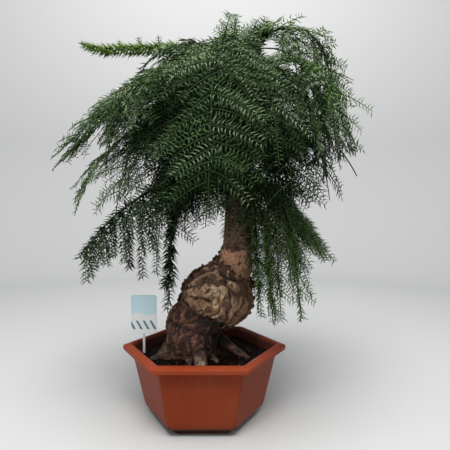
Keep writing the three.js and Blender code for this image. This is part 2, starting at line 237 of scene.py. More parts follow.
def tube(
    points: Array,
    radii: Sequence[float] | Array,
    sides: int,
    ripple: Callable[[Array, Array], Array] | None = None,
) -> Shape:
    """A round limb through points.

    Args:
        points: its centre line.
        radii: its radius at each point.
        sides: how many points each ring has.
        ripple: gives the growth of a radius from the angle and the number of its ring.

    Returns:
        The limb as a closed shape.
    """
    along = unit(np.gradient(points, axis=0))
    across = unit(np.cross(BACK, along))
    other = np.cross(along, across)
    angle = np.arange(sides) / sides * 2 * math.pi
    size = np.array(radii, float)[:, None] * np.ones(sides)
    if ripple:
        size = size * ripple(angle[None, :], np.arange(len(points))[:, None])
    out = across[:, None] * np.cos(angle)[:, None] + other[:, None] * np.sin(angle)[:, None]
    return loft(points[:, None] + out * size[..., None])


def hexagon(corner: float, height: float, rounding: float, steps: int) -> Array:
    """A level hexagon with rounded corners, two of them on the X axis.

    Args:
        corner: the distance from the centre to a sharp corner.
        height: its height.
        rounding: the radius of its corners.
        steps: the straight pieces round one corner.

    Returns:
        Its points in order.
    """
    middle = corner - rounding / SIDE_SHARE
    turn = np.radians(60 * np.arange(6))[:, None]
    bend = turn + np.radians(np.linspace(-30, 30, steps + 1))[None, :]
    flat = [middle * np.cos(turn) + rounding * np.cos(bend), middle * np.sin(turn) + rounding * np.sin(bend)]
    return np.stack([*flat, np.full_like(bend, height)], axis=-1).reshape(-1, 3)


def filleted(profile: Sequence[tuple[float, float, float]], steps: int) -> Array:
    """Rounds the corners of an outline.

    Args:
        profile: for each corner its two coordinates and the radius to round it by.
        steps: the straight pieces round one corner.

    Returns:
        The outline's points.
    """
    corners = np.array([place[:2] for place in profile], float)
    rounded = [corners[0]]
    for before, here, after, (_, _, radius) in zip(corners, corners[1:], corners[2:], profile[1:]):
        back, ahead = unit(before - here), unit(after - here)
        half = math.acos(float(np.clip(back @ ahead, -1, 1))) / 2
        room = min(np.linalg.norm(before - here), np.linalg.norm(after - here)) / 2
        reach = min(radius / math.tan(half), room)
        for share in np.linspace(0, 1, steps + 1):
            near = mix(here + back * reach, here, share)
            far = mix(here, here + ahead * reach, share)
            rounded.append(mix(near, far, share))
    return np.array([*rounded, corners[-1]])


# Node trees


class Socket:
    """A node's output that Python expressions can use."""

    def __init__(self, nodes: "Nodes", socket: NodeSocket) -> None:
        """Keeps the socket and the tree that it belongs to."""
        self.nodes = nodes
        self.socket = socket

    def math(self, operation: str, *values: Any) -> "Socket":
        """Returns the output of a new Math node on the values."""
        return self.nodes.add("ShaderNodeMath", dict(enumerate(values)), operation=operation)[0]

    def __add__(self, other: Any) -> "Socket":
        """Returns the sum."""
        return self.math("ADD", self, other)

    __radd__ = __add__

    def __sub__(self, other: Any) -> "Socket":
        """Returns the difference."""
        return self.math("SUBTRACT", self, other)

    def __rsub__(self, other: Any) -> "Socket":
        """Returns the difference the other way round."""
        return self.math("SUBTRACT", other, self)

    def __mul__(self, other: Any) -> "Socket":
        """Returns the product."""
        return self.math("MULTIPLY", self, other)

    __rmul__ = __mul__

    def step(self, low: float, high: float) -> "Socket":
        """Returns a smooth step from 0 at low to 1 at high."""
        inputs = {"Value": self, "From Min": low, "From Max": high}
        return self.nodes.add("ShaderNodeMapRange", inputs, interpolation_type="SMOOTHSTEP")["Result"]


class Nodes:
    """Adds nodes to a shader tree or a geometry tree, each in one call."""

    def __init__(self, tree: NodeTree) -> None:
        """Keeps the tree."""
        self.tree = tree

    def add(self, kind: str, inputs: dict[Any, Any] | None = None, **settings: Any) -> "Made":
        """Adds a node.

        Args:
            kind: the node's type.
            inputs: the value or the link of each input, by its name or number.
            settings: values that are set on the node itself, before its inputs.

        Returns:
            The node, which gives its outputs by name or number.
        """
        node = self.tree.nodes.new(kind)
        for name, value in settings.items():
            setattr(node, name, value)
        for key, value in (inputs or {}).items():
            socket = Made.pick(node.inputs, key)
            if isinstance(value, Socket):
                self.tree.links.new(value.socket, socket)
            else:
                socket.default_value = value
        return Made(self, node)

    def axes(self, vector: Socket) -> list[Socket]:
        """Returns the three parts of a vector."""
        parts = self.add("ShaderNodeSeparateXYZ", {"Vector": vector})
        return [parts["X"], parts["Y"], parts["Z"]]

    def noise(self, place: Socket, scale: float, detail: float = 3.0) -> Socket:
        """Returns a noise texture's value at a place."""
        inputs = {"Vector": place, "Scale": scale, "Detail": detail}
        return self.add("ShaderNodeTexNoise", inputs)["Fac"]

    def blend(self, share: Any, first: Any, last: Any, kind: str = "MIX") -> Socket:
        """Mixes two colours.

        Args:
            share: how far to mix.
            first: the colour at 0.
            last: the colour at 1.
            kind: the way to blend them.

        Returns:
            The new colour.
        """
        opaque = [(*c, 1.0) if isinstance(c, tuple) and len(c) == 3 else c for c in (first, last)]
        inputs = {0: share, "A": opaque[0], "B": opaque[1]}
        return self.add("ShaderNodeMix", inputs, data_type="RGBA", blend_type=kind)["Result"]


class Made:
    """A node that was added."""

    def __init__(self, nodes: Nodes, node: Node) -> None:
        """Keeps the node and its tree."""
        self.nodes = nodes
        self.node = node

    @staticmethod
    def pick(sockets: Any, key: Any) -> NodeSocket:
        """Finds a socket.

        Args:
            sockets: a node's inputs or outputs.
            key: its number, or a name, of which the first one in use counts.

        Returns:
            The socket.
        """
        if isinstance(key, int):
            return sockets[key]
        return next(socket for socket in sockets if socket.enabled and socket.name == key)

    def __getitem__(self, key: Any) -> Socket:
        """Returns an output by its name or number."""
        return Socket(self.nodes, self.pick(self.node.outputs, key))


class Finish(Nodes):
    """A material under construction, with one principled shader."""

    def __init__(self, name: str, **constants: Any) -> None:
        """Starts the material.

        Args:
            name: the material's name.
            constants: values of the shader's own sockets, with _ for a space in a name.
        """
        self.material = bpy.data.materials.new(name)
        self.material.use_nodes = True
        super().__init__(self.material.node_tree)
        self.shader = self.tree.nodes["Principled BSDF"]
        for key, value in constants.items():
            self.feed(key.replace("_", " "), value)

    def feed(self, name: str, value: Any) -> None:
        """Sets or links one of the shader's sockets.

        Args:
            name: the socket's name.
            value: a number, a colour or an output to link.
        """
        if isinstance(value, Socket):
            self.tree.links.new(value.socket, self.shader.inputs[name])
        elif isinstance(value, tuple):
            self.shader.inputs[name].default_value = (*value, 1.0)
        else:
            self.shader.inputs[name].default_value = value

    def place(self) -> Socket:
        """Returns the object's own coordinates."""
        return self.add("ShaderNodeTexCoord")["Object"]

    def stretched(self, place: Socket, scale: Point) -> Socket:
        """Returns a place scaled along each axis."""
        return self.add("ShaderNodeMapping", {"Vector": place, "Scale": scale})["Vector"]

    def attribute(self, name: str, output: str) -> Socket:
        """Returns an attribute of the piece's own mesh."""
        return self.add("ShaderNodeAttribute", attribute_name=name)[output]

    def bump(self, height: Socket, depth: float) -> None:
        """Feeds the shader's normal with a relief of a depth in metres."""
        inputs = {"Height": height, "Distance": depth, "Strength": 1.0}
        self.feed("Normal", self.add("ShaderNodeBump", inputs)["Normal"])


class GeometryTree(Nodes):
    """A Geometry Nodes tree with named inputs, whose result is made a plain mesh."""

    KINDS = {float: "NodeSocketFloat", int: "NodeSocketInt", Object: "NodeSocketObject"}

    def __init__(self, name: str, **inputs: Any) -> None:
        """Starts the tree.

        Args:
            name: the tree's name.
            inputs: the named inputs and their values, with _ for a space in a name.
        """
        super().__init__(bpy.data.node_groups.new(name, "GeometryNodeTree"))
        sockets = self.tree.interface
        sockets.new_socket("Geometry", in_out="INPUT", socket_type="NodeSocketGeometry")
        sockets.new_socket("Geometry", in_out="OUTPUT", socket_type="NodeSocketGeometry")
        self.values = {}
        for key, value in inputs.items():
            kind = self.KINDS[type(value)]
            made = sockets.new_socket(key.replace("_", " "), in_out="INPUT", socket_type=kind)
            self.values[made.identifier] = value
        self.source = self.add("NodeGroupInput")

    def named(self, name: str, kind: str = "FLOAT") -> Socket:
        """Returns an attribute of the geometry."""
        return self.add("GeometryNodeInputNamedAttribute", {"Name": name}, data_type=kind)["Attribute"]

    def random(self, low: Any, high: Any, seed: Socket) -> Socket:
        """Returns a random number for each element."""
        inputs = {"Min": low, "Max": high, "Seed": seed}
        return self.add("FunctionNodeRandomValue", inputs, data_type="FLOAT")["Value"]

    def vector(self, *parts: Any) -> Socket:
        """Returns three values as one vector."""
        return self.add("ShaderNodeCombineXYZ", dict(enumerate(parts)))["Vector"]

    def turn(self, *angles: Any) -> Socket:
        """Returns the rotation by three angles."""
        return self.add("FunctionNodeEulerToRotation", {"Euler": self.vector(*angles)})["Rotation"]

    def facing(self, outward: Socket, side: Socket) -> Socket:
        """Returns the rotation that turns Z outward and X to the side."""
        axes = {"Primary Axis": outward, "Secondary Axis": side}
        return self.add("FunctionNodeAxesToRotation", axes, primary_axis="Z", secondary_axis="X")["Rotation"]

    def curves(self) -> Socket:
        """Returns the edges that come in as curves."""
        return self.add("GeometryNodeMeshToCurve", {"Mesh": self.source["Geometry"]})["Curve"]

    def scattered(self, points: Socket, name: str, turn: Socket, size: Socket) -> Socket:
        """Sets real copies of an object on points.

        Args:
            points: the points.
            name: the input that holds the object.
            turn: the rotation of each copy.
            size: its scale.

        Returns:
            The copies as one mesh.
        """
        shape = self.add("GeometryNodeObjectInfo", {"Object": self.source[name]})["Geometry"]
        inputs = {"Points": points, "Instance": shape, "Rotation": turn, "Scale": size}
        copies = self.add("GeometryNodeInstanceOnPoints", inputs)["Instances"]
        return self.add("GeometryNodeRealizeInstances", {"Geometry": copies})["Geometry"]

    def painted(self, geometry: Socket, material: Material, chosen: Socket | None = None) -> Socket:
        """Puts a material on geometry.

        Args:
            geometry: the geometry.
            material: the material.
            chosen: the part that gets it, where it isn't all.

        Returns:
            The painted geometry.
        """
        inputs = {"Geometry": geometry, "Material": material}
        if chosen:
            inputs["Selection"] = chosen
        return self.add("GeometryNodeSetMaterial", inputs)["Geometry"]

    def run(self, piece: Object, result: Socket) -> None:
        """Ends the tree and turns the piece into the plain mesh that it makes.

        Args:
            piece: the object that carries the input mesh.
            result: the geometry that the tree gives.
        """
        self.add("NodeGroupOutput", {"Geometry": result})
        modifier = piece.modifiers.new("growth", "NODES")
        modifier.node_group = self.tree
        for identifier, value in self.values.items():
            modifier[identifier] = value
        made_plain(piece)


def made_plain(piece: Object) -> None:
    """Turns what a piece's modifiers make into its plain mesh.

    Args:
        piece: the piece, which loses its modifiers.
    """
    graph = bpy.context.evaluated_depsgraph_get()
    mesh = bpy.data.meshes.new_from_object(piece.evaluated_get(graph), depsgraph=graph)
    mesh.name = piece.name
    piece.modifiers.clear()
    piece.data = mesh


def path_object(name: str, paths: Sequence[Array], **values: Array) -> Object:
    """An object of bare edges along paths, for a Geometry Nodes tree to grow on.

    Args:
        name: the object's name.
        paths: the points of each path.
        values: one number for each point of all paths in a row, by attribute name.

    Returns:
        The new object.
    """
    lengths = [len(path) for path in paths]
    ends = np.cumsum(lengths)
    index = np.arange(ends[-1])
    starts = np.setdiff1d(index, ends - 1)
    mesh = bpy.data.meshes.new(name)
    mesh.from_pydata((np.vstack(paths) * MM).tolist(), np.stack([starts, starts + 1], axis=-1).tolist(), [])
    for key, numbers in values.items():
        keep_numbers(mesh, key, numbers)
    return linked(name, mesh)


def surface(mesh: Mesh) -> tuple[Array, Array]:
    """Reads a mesh.

    Args:
        mesh: the mesh.

    Returns:
        Its points in millimetres and the outward directions there.
    """
    points = np.zeros(len(mesh.vertices) * 3, np.float32)
    mesh.vertices.foreach_get("co", points)
    normals = np.zeros(len(mesh.vertices) * 3, np.float32)
    mesh.vertex_normals.foreach_get("vector", normals)
    return points.reshape(-1, 3).astype(float) / MM, normals.reshape(-1, 3).astype(float)


def move_points(mesh: Mesh, points: Array) -> None:
    """Moves a mesh's points to places in millimetres."""
    mesh.vertices.foreach_set("co", (points * MM).astype(np.float32).ravel())


def keep_numbers(mesh: Mesh, name: str, numbers: Array) -> None:
    """Keeps an attribute for the points of a mesh.

    Args:
        mesh: the mesh.
        name: the attribute's name.
        numbers: a whole number, a number or a vector for each point.
    """
    if numbers.ndim == 2:
        layer = mesh.attributes.new(name, "FLOAT_VECTOR", "POINT")
        layer.data.foreach_set("vector", numbers.astype(np.float32).ravel())
    else:
        whole = np.issubdtype(numbers.dtype, np.integer)
        layer = mesh.attributes.new(name, "INT" if whole else "FLOAT", "POINT")
        layer.data.foreach_set("value", numbers)


def put(piece: Object, nodes: Iterable[str], material: Material | None = None) -> None:
    """Puts a finished piece on the tree's body.

    Args:
        piece: the piece.
        nodes: the solids that it stands for.
        material: its finish, where its mesh has none yet.
    """
    if material:
        piece.data.materials.append(material)
    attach(piece, BODY)
    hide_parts(*nodes)
    piece.data.calc_loop_triangles()
    LOG.info("%s: %d triangles", piece.name, len(piece.data.loop_triangles))


def smooth(piece: Object, sharp: float = 180.0) -> None:
    """Shades a piece smooth.

    Args:
        piece: the piece.
        sharp: edges that bend by more than this angle stay sharp.
    """
    piece.data.shade_smooth()
    if sharp < 180:
        piece.data.set_sharp_from_angle(angle=math.radians(sharp))


# Pot


@dataclass(frozen=True)
class PotPlastic:
    """Satin moulded plastic in a burnt orange, a little dusty, darkened inside by soil stains and painted
    shade.
    """

    colour: Colour = (0.31, 0.048, 0.015)
    faded: Colour = (0.34, 0.062, 0.022)
    dust: Colour = (0.36, 0.17, 0.11)
    soil_stain_and_shade: Colour = (0.050, 0.020, 0.012)

    def material(self) -> Material:
        """Makes the finish.

        Returns:
            The material.
        """
        finish = Finish("pot_plastic", Specular_IOR_Level=0.13)
        place = finish.place()
        cloud = finish.noise(place, 9.0)
        streak = finish.noise(finish.stretched(place, (60.0, 60.0, 5.0)), 1.0, 4.0)
        speck = finish.noise(place, 260.0, 2.0)
        colour = finish.blend(cloud.step(0.35, 0.7), self.colour, self.faded)
        settled = streak.step(0.52, 0.8) * 0.12 + speck.step(0.62, 0.74) * 0.10
        colour = finish.blend(settled, colour, self.dust)
        # Soil stains and painted shade darken the pot's inside below the rim.
        soiled = finish.attribute("soiled", "Fac") * (0.80 + 0.20 * streak.step(0.3, 0.6))
        finish.feed("Base Color", finish.blend(soiled, colour, self.soil_stain_and_shade))
        finish.feed("Roughness", 0.36 + 0.14 * cloud + 0.12 * streak)
        finish.bump(finish.noise(place, 900.0, 2.0) * 0.4 + finish.noise(place, 40.0), 0.0002)
        return finish.material


@dataclass
class Pot:
    """The hexagonal pot, with the moulded arch line on its front and back."""

    height: float = 129
    rim_corner: float = 150
    rim_drop: float = 4
    rim_lip: float = 7
    wall_top: float = 134
    wall_base: float = 112
    base_top: float = 26
    base_corner: float = 97
    foot_corner: float = 88
    foot_height: float = 9
    wall: float = 3
    rounding: float = 10
    edge_steps: int = 7
    fillet_steps: int = 4
    arch_half: float = 38
    arch_top: float = 107
    arch_low: float = 94
    arch_round: float = 10
    arch_radius: float = 1.3
    arch_stand: float = 0.8
    arch_steps: int = 8
    arch_sides: int = 10

    @property
    def under_rim(self) -> float:
        """The height where the rim's lip leaves the wall."""
        return self.height - self.rim_drop - self.rim_lip

    def wall_at(self, height: float) -> float:
        """Returns the distance from the centre to a wall's corner at a height."""
        slope = (self.wall_top - self.wall_base) / (self.under_rim - self.base_top)
        return self.wall_base + slope * (height - self.base_top)

    def inside_at(self, height: float, slack: float = 0.0) -> float:
        """Returns the same on the wall's inner side, a slack further in."""
        return self.wall_at(height) - (self.wall + slack) / SIDE_SHARE

    def shell(self) -> Shape:
        """The pot with its foot, wall and rim.

        Returns:
            One closed shell.
        """
        mouth = self.inside_at(self.height)
        floor = self.foot_height + self.wall
        profile = [
            (self.foot_corner, 0, 0),
            (self.foot_corner + 1, self.foot_height, 1),
            (self.base_corner, self.foot_height, 1.5),
            (mix(self.base_corner, self.wall_base, 0.72), mix(self.foot_height, self.base_top, 0.3), 12),
            (self.wall_base, self.base_top, 20),
            (self.wall_top, self.under_rim, 1.2),
            (self.rim_corner - 0.6, self.under_rim - 0.4, 1.0),
            (self.rim_corner, self.height - self.rim_drop, 1.4),
            (mouth + 2.6, self.height, 2.2),
            (self.inside_at(self.height - 6), self.height - 6, 3),
            (self.inside_at(self.base_top), self.base_top, 10),
            (self.foot_corner - self.wall, floor, 4),
            (self.foot_corner - 12, floor, 0),
        ]
        outline = filleted(profile, self.fillet_steps)
        lip = self.under_rim - 1
        rings = []
        for number, (corner, height) in enumerate(outline):
            inner = number > len(outline) / 2 and corner < self.wall_top
            rounding = 6 if height > lip and not inner else self.rounding - inner * self.wall
            rings.append(hexagon(corner, height, rounding, self.edge_steps))
        return loft(np.array(rings))

    def soiling_and_shade(self, points: Array) -> Array:
        """Soil stains and painted shade, which are only inside and below the rim.

        Args:
            points: points of the pot.

        Returns:
            How far each point is stained and shaded, from 0 to 1.
        """
        walls = np.radians((30, 90, 150))
        out = np.max(np.abs(points[:, :2] @ np.array([np.cos(walls), np.sin(walls)])), axis=1)
        inside = ease(self.wall_at(points[:, 2]) * SIDE_SHARE - self.wall / 2 - out, -0.5, 0.5)
        return inside * ease(self.height - 2 - points[:, 2], 0, 6)

    def arch(self, side: int) -> Shape:
        """The raised arch line on a wall.

        Args:
            side: -1 for the front wall or 1 for the back.

        Returns:
            A closed shape.
        """
        outline = filleted(
            [
                (-self.arch_half, self.arch_low, 0),
                (-self.arch_half, self.arch_top, self.arch_round),
                (self.arch_half, self.arch_top, self.arch_round),
                (self.arch_half, self.arch_low, 0),
            ],
            self.arch_steps,
        )
        sunk = self.arch_radius - self.arch_stand
        points = [(x, side * (self.wall_at(z) * SIDE_SHARE - sunk), z) for x, z in outline]
        fade = np.clip((outline[:, 1] - self.arch_low) / (self.arch_top - self.arch_low) * 2.5, 0.35, 1)
        return tube(np.array(points), self.arch_radius * fade, self.arch_sides)

    def build(self) -> None:
        """Makes the pot's pieces."""
        plastic = PotPlastic().material()
        form = self.shell()
        shell = form.object("pot_shell")
        # The mask of soil stains and painted shade inside the pot.
        keep_numbers(shell.data, "soiled", self.soiling_and_shade(form.points))
        smooth(shell, 38)
        put(shell, ["pot"], plastic)
        arches = Shape.joined([self.arch(-1), self.arch(1)]).object("pot_arch_lines")
        smooth(arches)
        put(arches, ["pot"], plastic)


# Soil


@dataclass(frozen=True)
class Earth:
    """Dark moist potting soil."""

    dark: Colour = (0.005, 0.003, 0.002)
    brown: Colour = (0.034, 0.018, 0.010)

    def material(self) -> Material:
        """Makes the finish.

        Returns:
            The material.
        """
        finish = Finish("soil_earth", Specular_IOR_Level=0.03)
        place = finish.place()
        crumb = finish.noise(place, 240.0, 5.0)
        patch = finish.noise(place, 30.0)
        crumbly = crumb.step(0.45, 0.8) * patch.step(0.3, 0.7)
        finish.feed("Base Color", finish.blend(crumbly, self.dark, self.brown))
        finish.feed("Roughness", 0.72 + 0.25 * crumb)
        finish.bump(crumb, 0.0016)
        return finish.material


@dataclass(frozen=True)
class Chips:
    """Bits of bark and wood in the soil."""

    dark: Colour = (0.012, 0.006, 0.004)
    brown: Colour = (0.130, 0.062, 0.034)

    def material(self) -> Material:
        """Makes the finish.

        Returns:
            The material.
        """
        finish = Finish("soil_chips", Specular_IOR_Level=0.1)
        place = finish.place()
        shade = finish.noise(place, 90.0)
        finish.feed("Base Color", finish.blend(shade.step(0.42, 0.72), self.dark, self.brown))
        finish.feed("Roughness", 0.7 + 0.2 * shade)
        finish.bump(finish.noise(place, 900.0), 0.0004)
        return finish.material


@dataclass
class Soil:
    """The soil in the pot, with crumbs and chips on it."""

    pot: Pot
    level: float = 112
    edge_fall: float = 3
    slack: float = 0.3
    depth: float = 40
    rings: int = 46
    first_ring: float = 0.985
    last_ring: float = 0.02
    heave: float = 2.6
    mound: float = 12
    mound_at: Pair = (-66, -14)
    mound_reach: float = 40
    edge_rate: float = 12
    chip_density: float = 26000.0
    chip_least: float = 0.8
    chip_growth: float = 4.2
    chip_rise: float = 0.6
    seed: int = 5

    def bed(self) -> Shape:
        """The soil with its uneven top.

        Returns:
            A closed shape.
        """
        edge = self.level - self.edge_fall
        inner = self.pot.rounding - self.pot.wall
        corner = self.pot.inside_at(edge, self.slack)
        steps = self.pot.edge_steps
        rim = hexagon(corner, edge, inner, steps)
        low = self.level - self.depth
        base = hexagon(self.pot.inside_at(low, self.slack), low, inner, steps)
        rings = [base, rim]
        for share in np.linspace(self.first_ring, self.last_ring, self.rings):
            ring = rim * (share, share, 1)
            ring[:, 2] = self.level - self.edge_fall * share**6
            loose = min(1, (1 - share) * self.edge_rate)
            swell = noise_at(ring, 26.0) + 0.6 * noise_at(ring, 9.0, 3.1) + 0.35 * noise_at(ring, 4.0, 7.7)
            ring[:, 2] += self.heave * swell * loose
            away = np.linalg.norm(ring[:, :2] - self.mound_at, axis=1)
            ring[:, 2] += self.mound * bell(away / self.mound_reach) * loose
            rings.append(ring)
        return loft(np.array(rings))

    def chip(self) -> Shape:
        """One rough chip about 1 mm across.

        Returns:
            A bent lozenge.
        """
        rings = np.array(
            [
                [(-0.9, -0.2, 0.0), (-0.8, 0.2, 0.1), (-0.9, 0.1, -0.2)],
                [(-0.2, -0.5, 0.1), (-0.1, 0.4, 0.4), (-0.3, 0.2, -0.4)],
                [(0.5, -0.4, 0.0), (0.4, 0.5, 0.2), (0.5, 0.1, -0.3)],
                [(0.9, -0.1, 0.1), (0.8, 0.2, 0.2), (0.9, 0.1, 0.0)],
            ]
        )
        return loft(rings)

    def scatter(self, bed: Object) -> Object:
        """Scatters chips over the top of the bed.

        Args:
            bed: the soil's own piece.

        Returns:
            The chips as one piece.
        """
        chip = self.chip().object("one_chip")
        piece = linked("soil_chips", bed.data.copy())
        tree = GeometryTree("soil_chips", Chip=chip, Density=self.chip_density, Seed=self.seed)
        seed = tree.source["Seed"]
        up = tree.axes(tree.add("GeometryNodeInputNormal")["Normal"])[2]
        least = {"A": up, "B": self.chip_rise}
        level = tree.add("FunctionNodeCompare", least, operation="GREATER_THAN")
        inputs = {
            "Mesh": tree.source["Geometry"],
            "Selection": level["Result"],
            "Density": tree.source["Density"],
            "Seed": seed,
        }
        points = tree.add("GeometryNodeDistributePointsOnFaces", inputs)["Points"]
        turn = tree.turn(*(tree.random(0.0, 2 * math.pi, seed + number) for number in range(3)))
        small = tree.random(0.0, 1.0, seed + 9)
        size = self.chip_least + small * small * small * small * self.chip_growth
        chips = tree.scattered(points, "Chip", turn, tree.vector(size, size, size))
        tree.run(piece, tree.painted(chips, Chips().material()))
        bpy.data.objects.remove(chip)
        return piece

    def build(self) -> None:
        """Makes the soil's pieces."""
        bed = self.bed().object("soil_bed")
        chips = self.scatter(bed)
        smooth(bed)
        put(bed, ["soil"], Earth().material())
        put(chips, ["soil"])


# Plant label


@dataclass(frozen=True)
class LabelCard:
    """Coated card with a plain design: a pale blue field, a white foot and slanted teal leaves."""

    white: Colour = (0.90, 0.92, 0.92)
    sky: Colour = (0.66, 0.88, 0.93)
    teal: Colour = (0.050, 0.19, 0.22)
    leaf_spacing: float = 0.0125
    leaf_width: float = 0.0042
    leaf_slant: float = 0.55

    def material(self, centre: float, base: float, height: float) -> Material:
        """The finish of the card.

        Args:
            centre: the card's middle along X, in metres.
            base: the height of its lower edge, in metres.
            height: the card's own height, in metres.

        Returns:
            The material.
        """
        finish = Finish("label_card", Roughness=0.34, Coat_Weight=0.15)
        place = finish.place()
        across, _, up = finish.axes(place)
        aside = across - centre
        share = (up - base) * (1 / height)
        wave = aside.math("SINE", aside * 160.0) * 0.035
        field_edge = (share + wave).step(0.50, 0.515)
        slanted = aside + self.leaf_slant * (up - base)
        comb = slanted.math("PINGPONG", slanted, self.leaf_spacing / 2)
        thin = (comb - self.leaf_width * 0.5).step(0.0003, -0.0003)
        band = share.step(0.10, 0.115) * share.step(0.34, 0.325)
        colour = finish.blend(field_edge, self.white, self.sky)
        colour = finish.blend(thin * band, colour, self.teal)
        worn = finish.noise(place, 60.0).step(0.5, 0.8) * 0.12
        finish.feed("Base Color", finish.blend(worn, colour, self.white))
        return finish.material


@dataclass(frozen=True)
class StickPlastic:
    """White plastic of the label's stick."""

    colour: Colour = (0.72, 0.72, 0.70)
    stain: Colour = (0.45, 0.42, 0.37)

    def material(self) -> Material:
        """Makes the finish.

        Returns:
            The material.
        """
        finish = Finish("label_stick")
        cloud = finish.noise(finish.place(), 70.0)
        finish.feed("Base Color", finish.blend(cloud.step(0.55, 0.8) * 0.4, self.colour, self.stain))
        finish.feed("Roughness", 0.36 + 0.2 * cloud)
        return finish.material


@dataclass
class PlantLabel:
    """The small card on a stick in the soil."""

    centre: Pair = (-109, -8)
    width: float = 46
    height: float = 70
    thickness: float = 1.0
    base: float = 149
    corner: float = 3
    corner_steps: int = 7
    stick_width: float = 4.4
    stick_thickness: float = 1.6
    stick_corner: float = 1.2
    soil_level: float = 112
    stick_depth: float = 24

    def plate(
        self, low: float, high: float, half: float, rounding: float, near: float, far: float
    ) -> Shape:
        """An upright rounded plate.

        Args:
            low: the height of its lower edge.
            high: the height of its upper edge.
            half: half its width.
            rounding: the radius of its corners.
            near: the depth of its front face.
            far: the depth of its back face.

        Returns:
            The plate as a closed shape.
        """
        x = self.centre[0]
        count = 4 * self.corner_steps
        angle = np.radians(np.linspace(0, 360, count, endpoint=False) + 180 / count)
        side, lift = np.cos(angle), np.sin(angle)
        outline_x = x + np.sign(side) * (half - rounding) + side * rounding
        outline_z = (low + high) / 2 + np.sign(lift) * ((high - low) / 2 - rounding) + lift * rounding
        inset = min(0.25, (far - near) / 4)
        rings = []
        for depth, shrink in ((near, inset), (near + inset, 0), (far - inset, 0), (far, inset)):
            ring = np.stack([outline_x, np.full_like(outline_x, depth), outline_z], axis=-1)
            ring[:, 0] -= side * shrink
            ring[:, 2] -= lift * shrink
            rings.append(ring)
        return loft(np.array(rings))

    def build(self) -> None:
        """Makes the label's pieces."""
        x, y = self.centre
        half_stick = self.stick_thickness / 2
        top = self.base + self.height
        face = y - half_stick - self.thickness / 2
        card = self.plate(self.base, top, self.width / 2, self.corner, face, face + self.thickness)
        piece = card.object("label_card")
        smooth(piece, 40)
        finish = LabelCard().material(x * MM, self.base * MM, self.height * MM)
        put(piece, ["plant_label"], finish)
        low, high = self.soil_level - self.stick_depth, self.base + self.height / 2
        half = self.stick_width / 2
        stick = self.plate(low, high, half, self.stick_corner, y - half_stick, y + half_stick)
        piece = stick.object("label_stick")
        smooth(piece, 40)
        put(piece, ["plant_label"], StickPlastic().material())


# Trunk


def slow_wave(angle: Array, ring: Array, phase: float) -> Array:
    """Returns the slow wave of a growth's outline at angles of its rings."""
    return np.sin(2 * angle + phase + 0.5 * ring) + 0.7 * np.sin(5 * angle - phase + 0.9 * ring)


@dataclass(frozen=True)
class Swelling:
    """A round growth on the trunk."""

    at: Point
    size: Point
    ripple: float
    phase: float
    sides: int = 40
    rings: int = 24

    def shape(self) -> Shape:
        """The growth with its rippled outline.

        Returns:
            A closed shape.
        """
        polar = np.radians(np.linspace(-89, 89, self.rings))[:, None]
        angle = (np.arange(self.sides) / self.sides * 2 * math.pi)[None, :]
        ring = np.arange(self.rings)[:, None] / 3
        grow = np.cos(polar) * (1 + self.ripple * slow_wave(angle, ring, self.phase))
        flat = [self.size[0] * grow * np.cos(angle), self.size[1] * grow * np.sin(angle)]
        lift = np.broadcast_to(self.size[2] * np.sin(polar), grow.shape)
        return loft(np.stack([*flat, lift], axis=-1) + np.array(self.at))


@dataclass(frozen=True)
class Root:
    """A surface root that runs from the trunk's foot into the soil."""

    heading: float
    start: float
    reach: float
    radius: float
    rise: float
    heart: Pair = (-20, -8)
    bend: float = 14
    taper: float = 0.42
    sink: float = 0.5
    soil_level: float = 112
    steps: int = 16
    sides: int = 14

    def shape(self) -> Shape:
        """The root from the trunk to its tip.

        Returns:
            A closed shape.
        """
        share = np.linspace(0, 1, self.steps)
        out = mix(self.start, self.reach, share)
        turn = np.radians(self.heading + self.bend * np.sin(math.pi * share))
        lift = self.soil_level + self.rise * (1 - share) ** 1.5 - self.radius * self.sink * share
        x, y = self.heart
        points = np.stack([x + out * np.cos(turn), y + out * np.sin(turn), lift], axis=-1)
        return tube(points, self.radius * mix(1, self.taper, share), self.sides)


@dataclass(frozen=True)
class Crack:
    """A dark cleft in the front of the trunk, along a path of places across and up."""

    path: tuple[Pair, ...]
    width: float
    depth: float


@dataclass(frozen=True)
class Bark:
    """Bark whose colour is worked out with its relief and kept on the mesh."""

    fine: float = 420.0
    dim: Colour = (0.62, 0.60, 0.58)
    bright: Colour = (1.28, 1.25, 1.2)
    fleck: Colour = (0.03, 0.02, 0.015)

    def material(self, name: str) -> Material:
        """Makes the finish.

        Args:
            name: the material's name.

        Returns:
            The material.
        """
        finish = Finish(name)
        place = finish.place()
        colour = finish.attribute("bark_colour", "Color")
        grain = finish.noise(place, self.fine, 5.0)
        fleck = finish.noise(finish.stretched(place, (1.0, 1.0, 0.35)), 900.0, 3.0)
        light = finish.blend(grain.step(0.36, 0.72), self.dim, self.bright)
        colour = finish.blend(1.0, colour, light, "MULTIPLY")
        finish.feed("Base Color", finish.blend(fleck.step(0.62, 0.7) * 0.5, colour, self.fleck))
        finish.feed("Roughness", 0.70 + 0.25 * grain)
        finish.bump(grain + fleck * 0.5, 0.0012)
        return finish.material


@dataclass(frozen=True)
class Tones:
    """Three colours of one zone of bark: its clefts, its body and its ridges, the dark clefts partly painted
    shade and the pale ridges partly painted highlight.
    """

    cleft: Colour
    body: Colour
    ridge: Colour

    def at(self, height: Array) -> Array:
        """The colours at heights of the bark.

        Args:
            height: from 0 in the clefts to 1 on the ridges.

        Returns:
            The colours, one a row.
        """
        low = ease(height, 0.0, 0.5)[:, None]
        high = ease(height, 0.5, 1.0)[:, None]
        cleft, body, ridge = (np.array(tone) for tone in (self.cleft, self.body, self.ridge))
        return mix(mix(cleft, body, low), ridge, high)


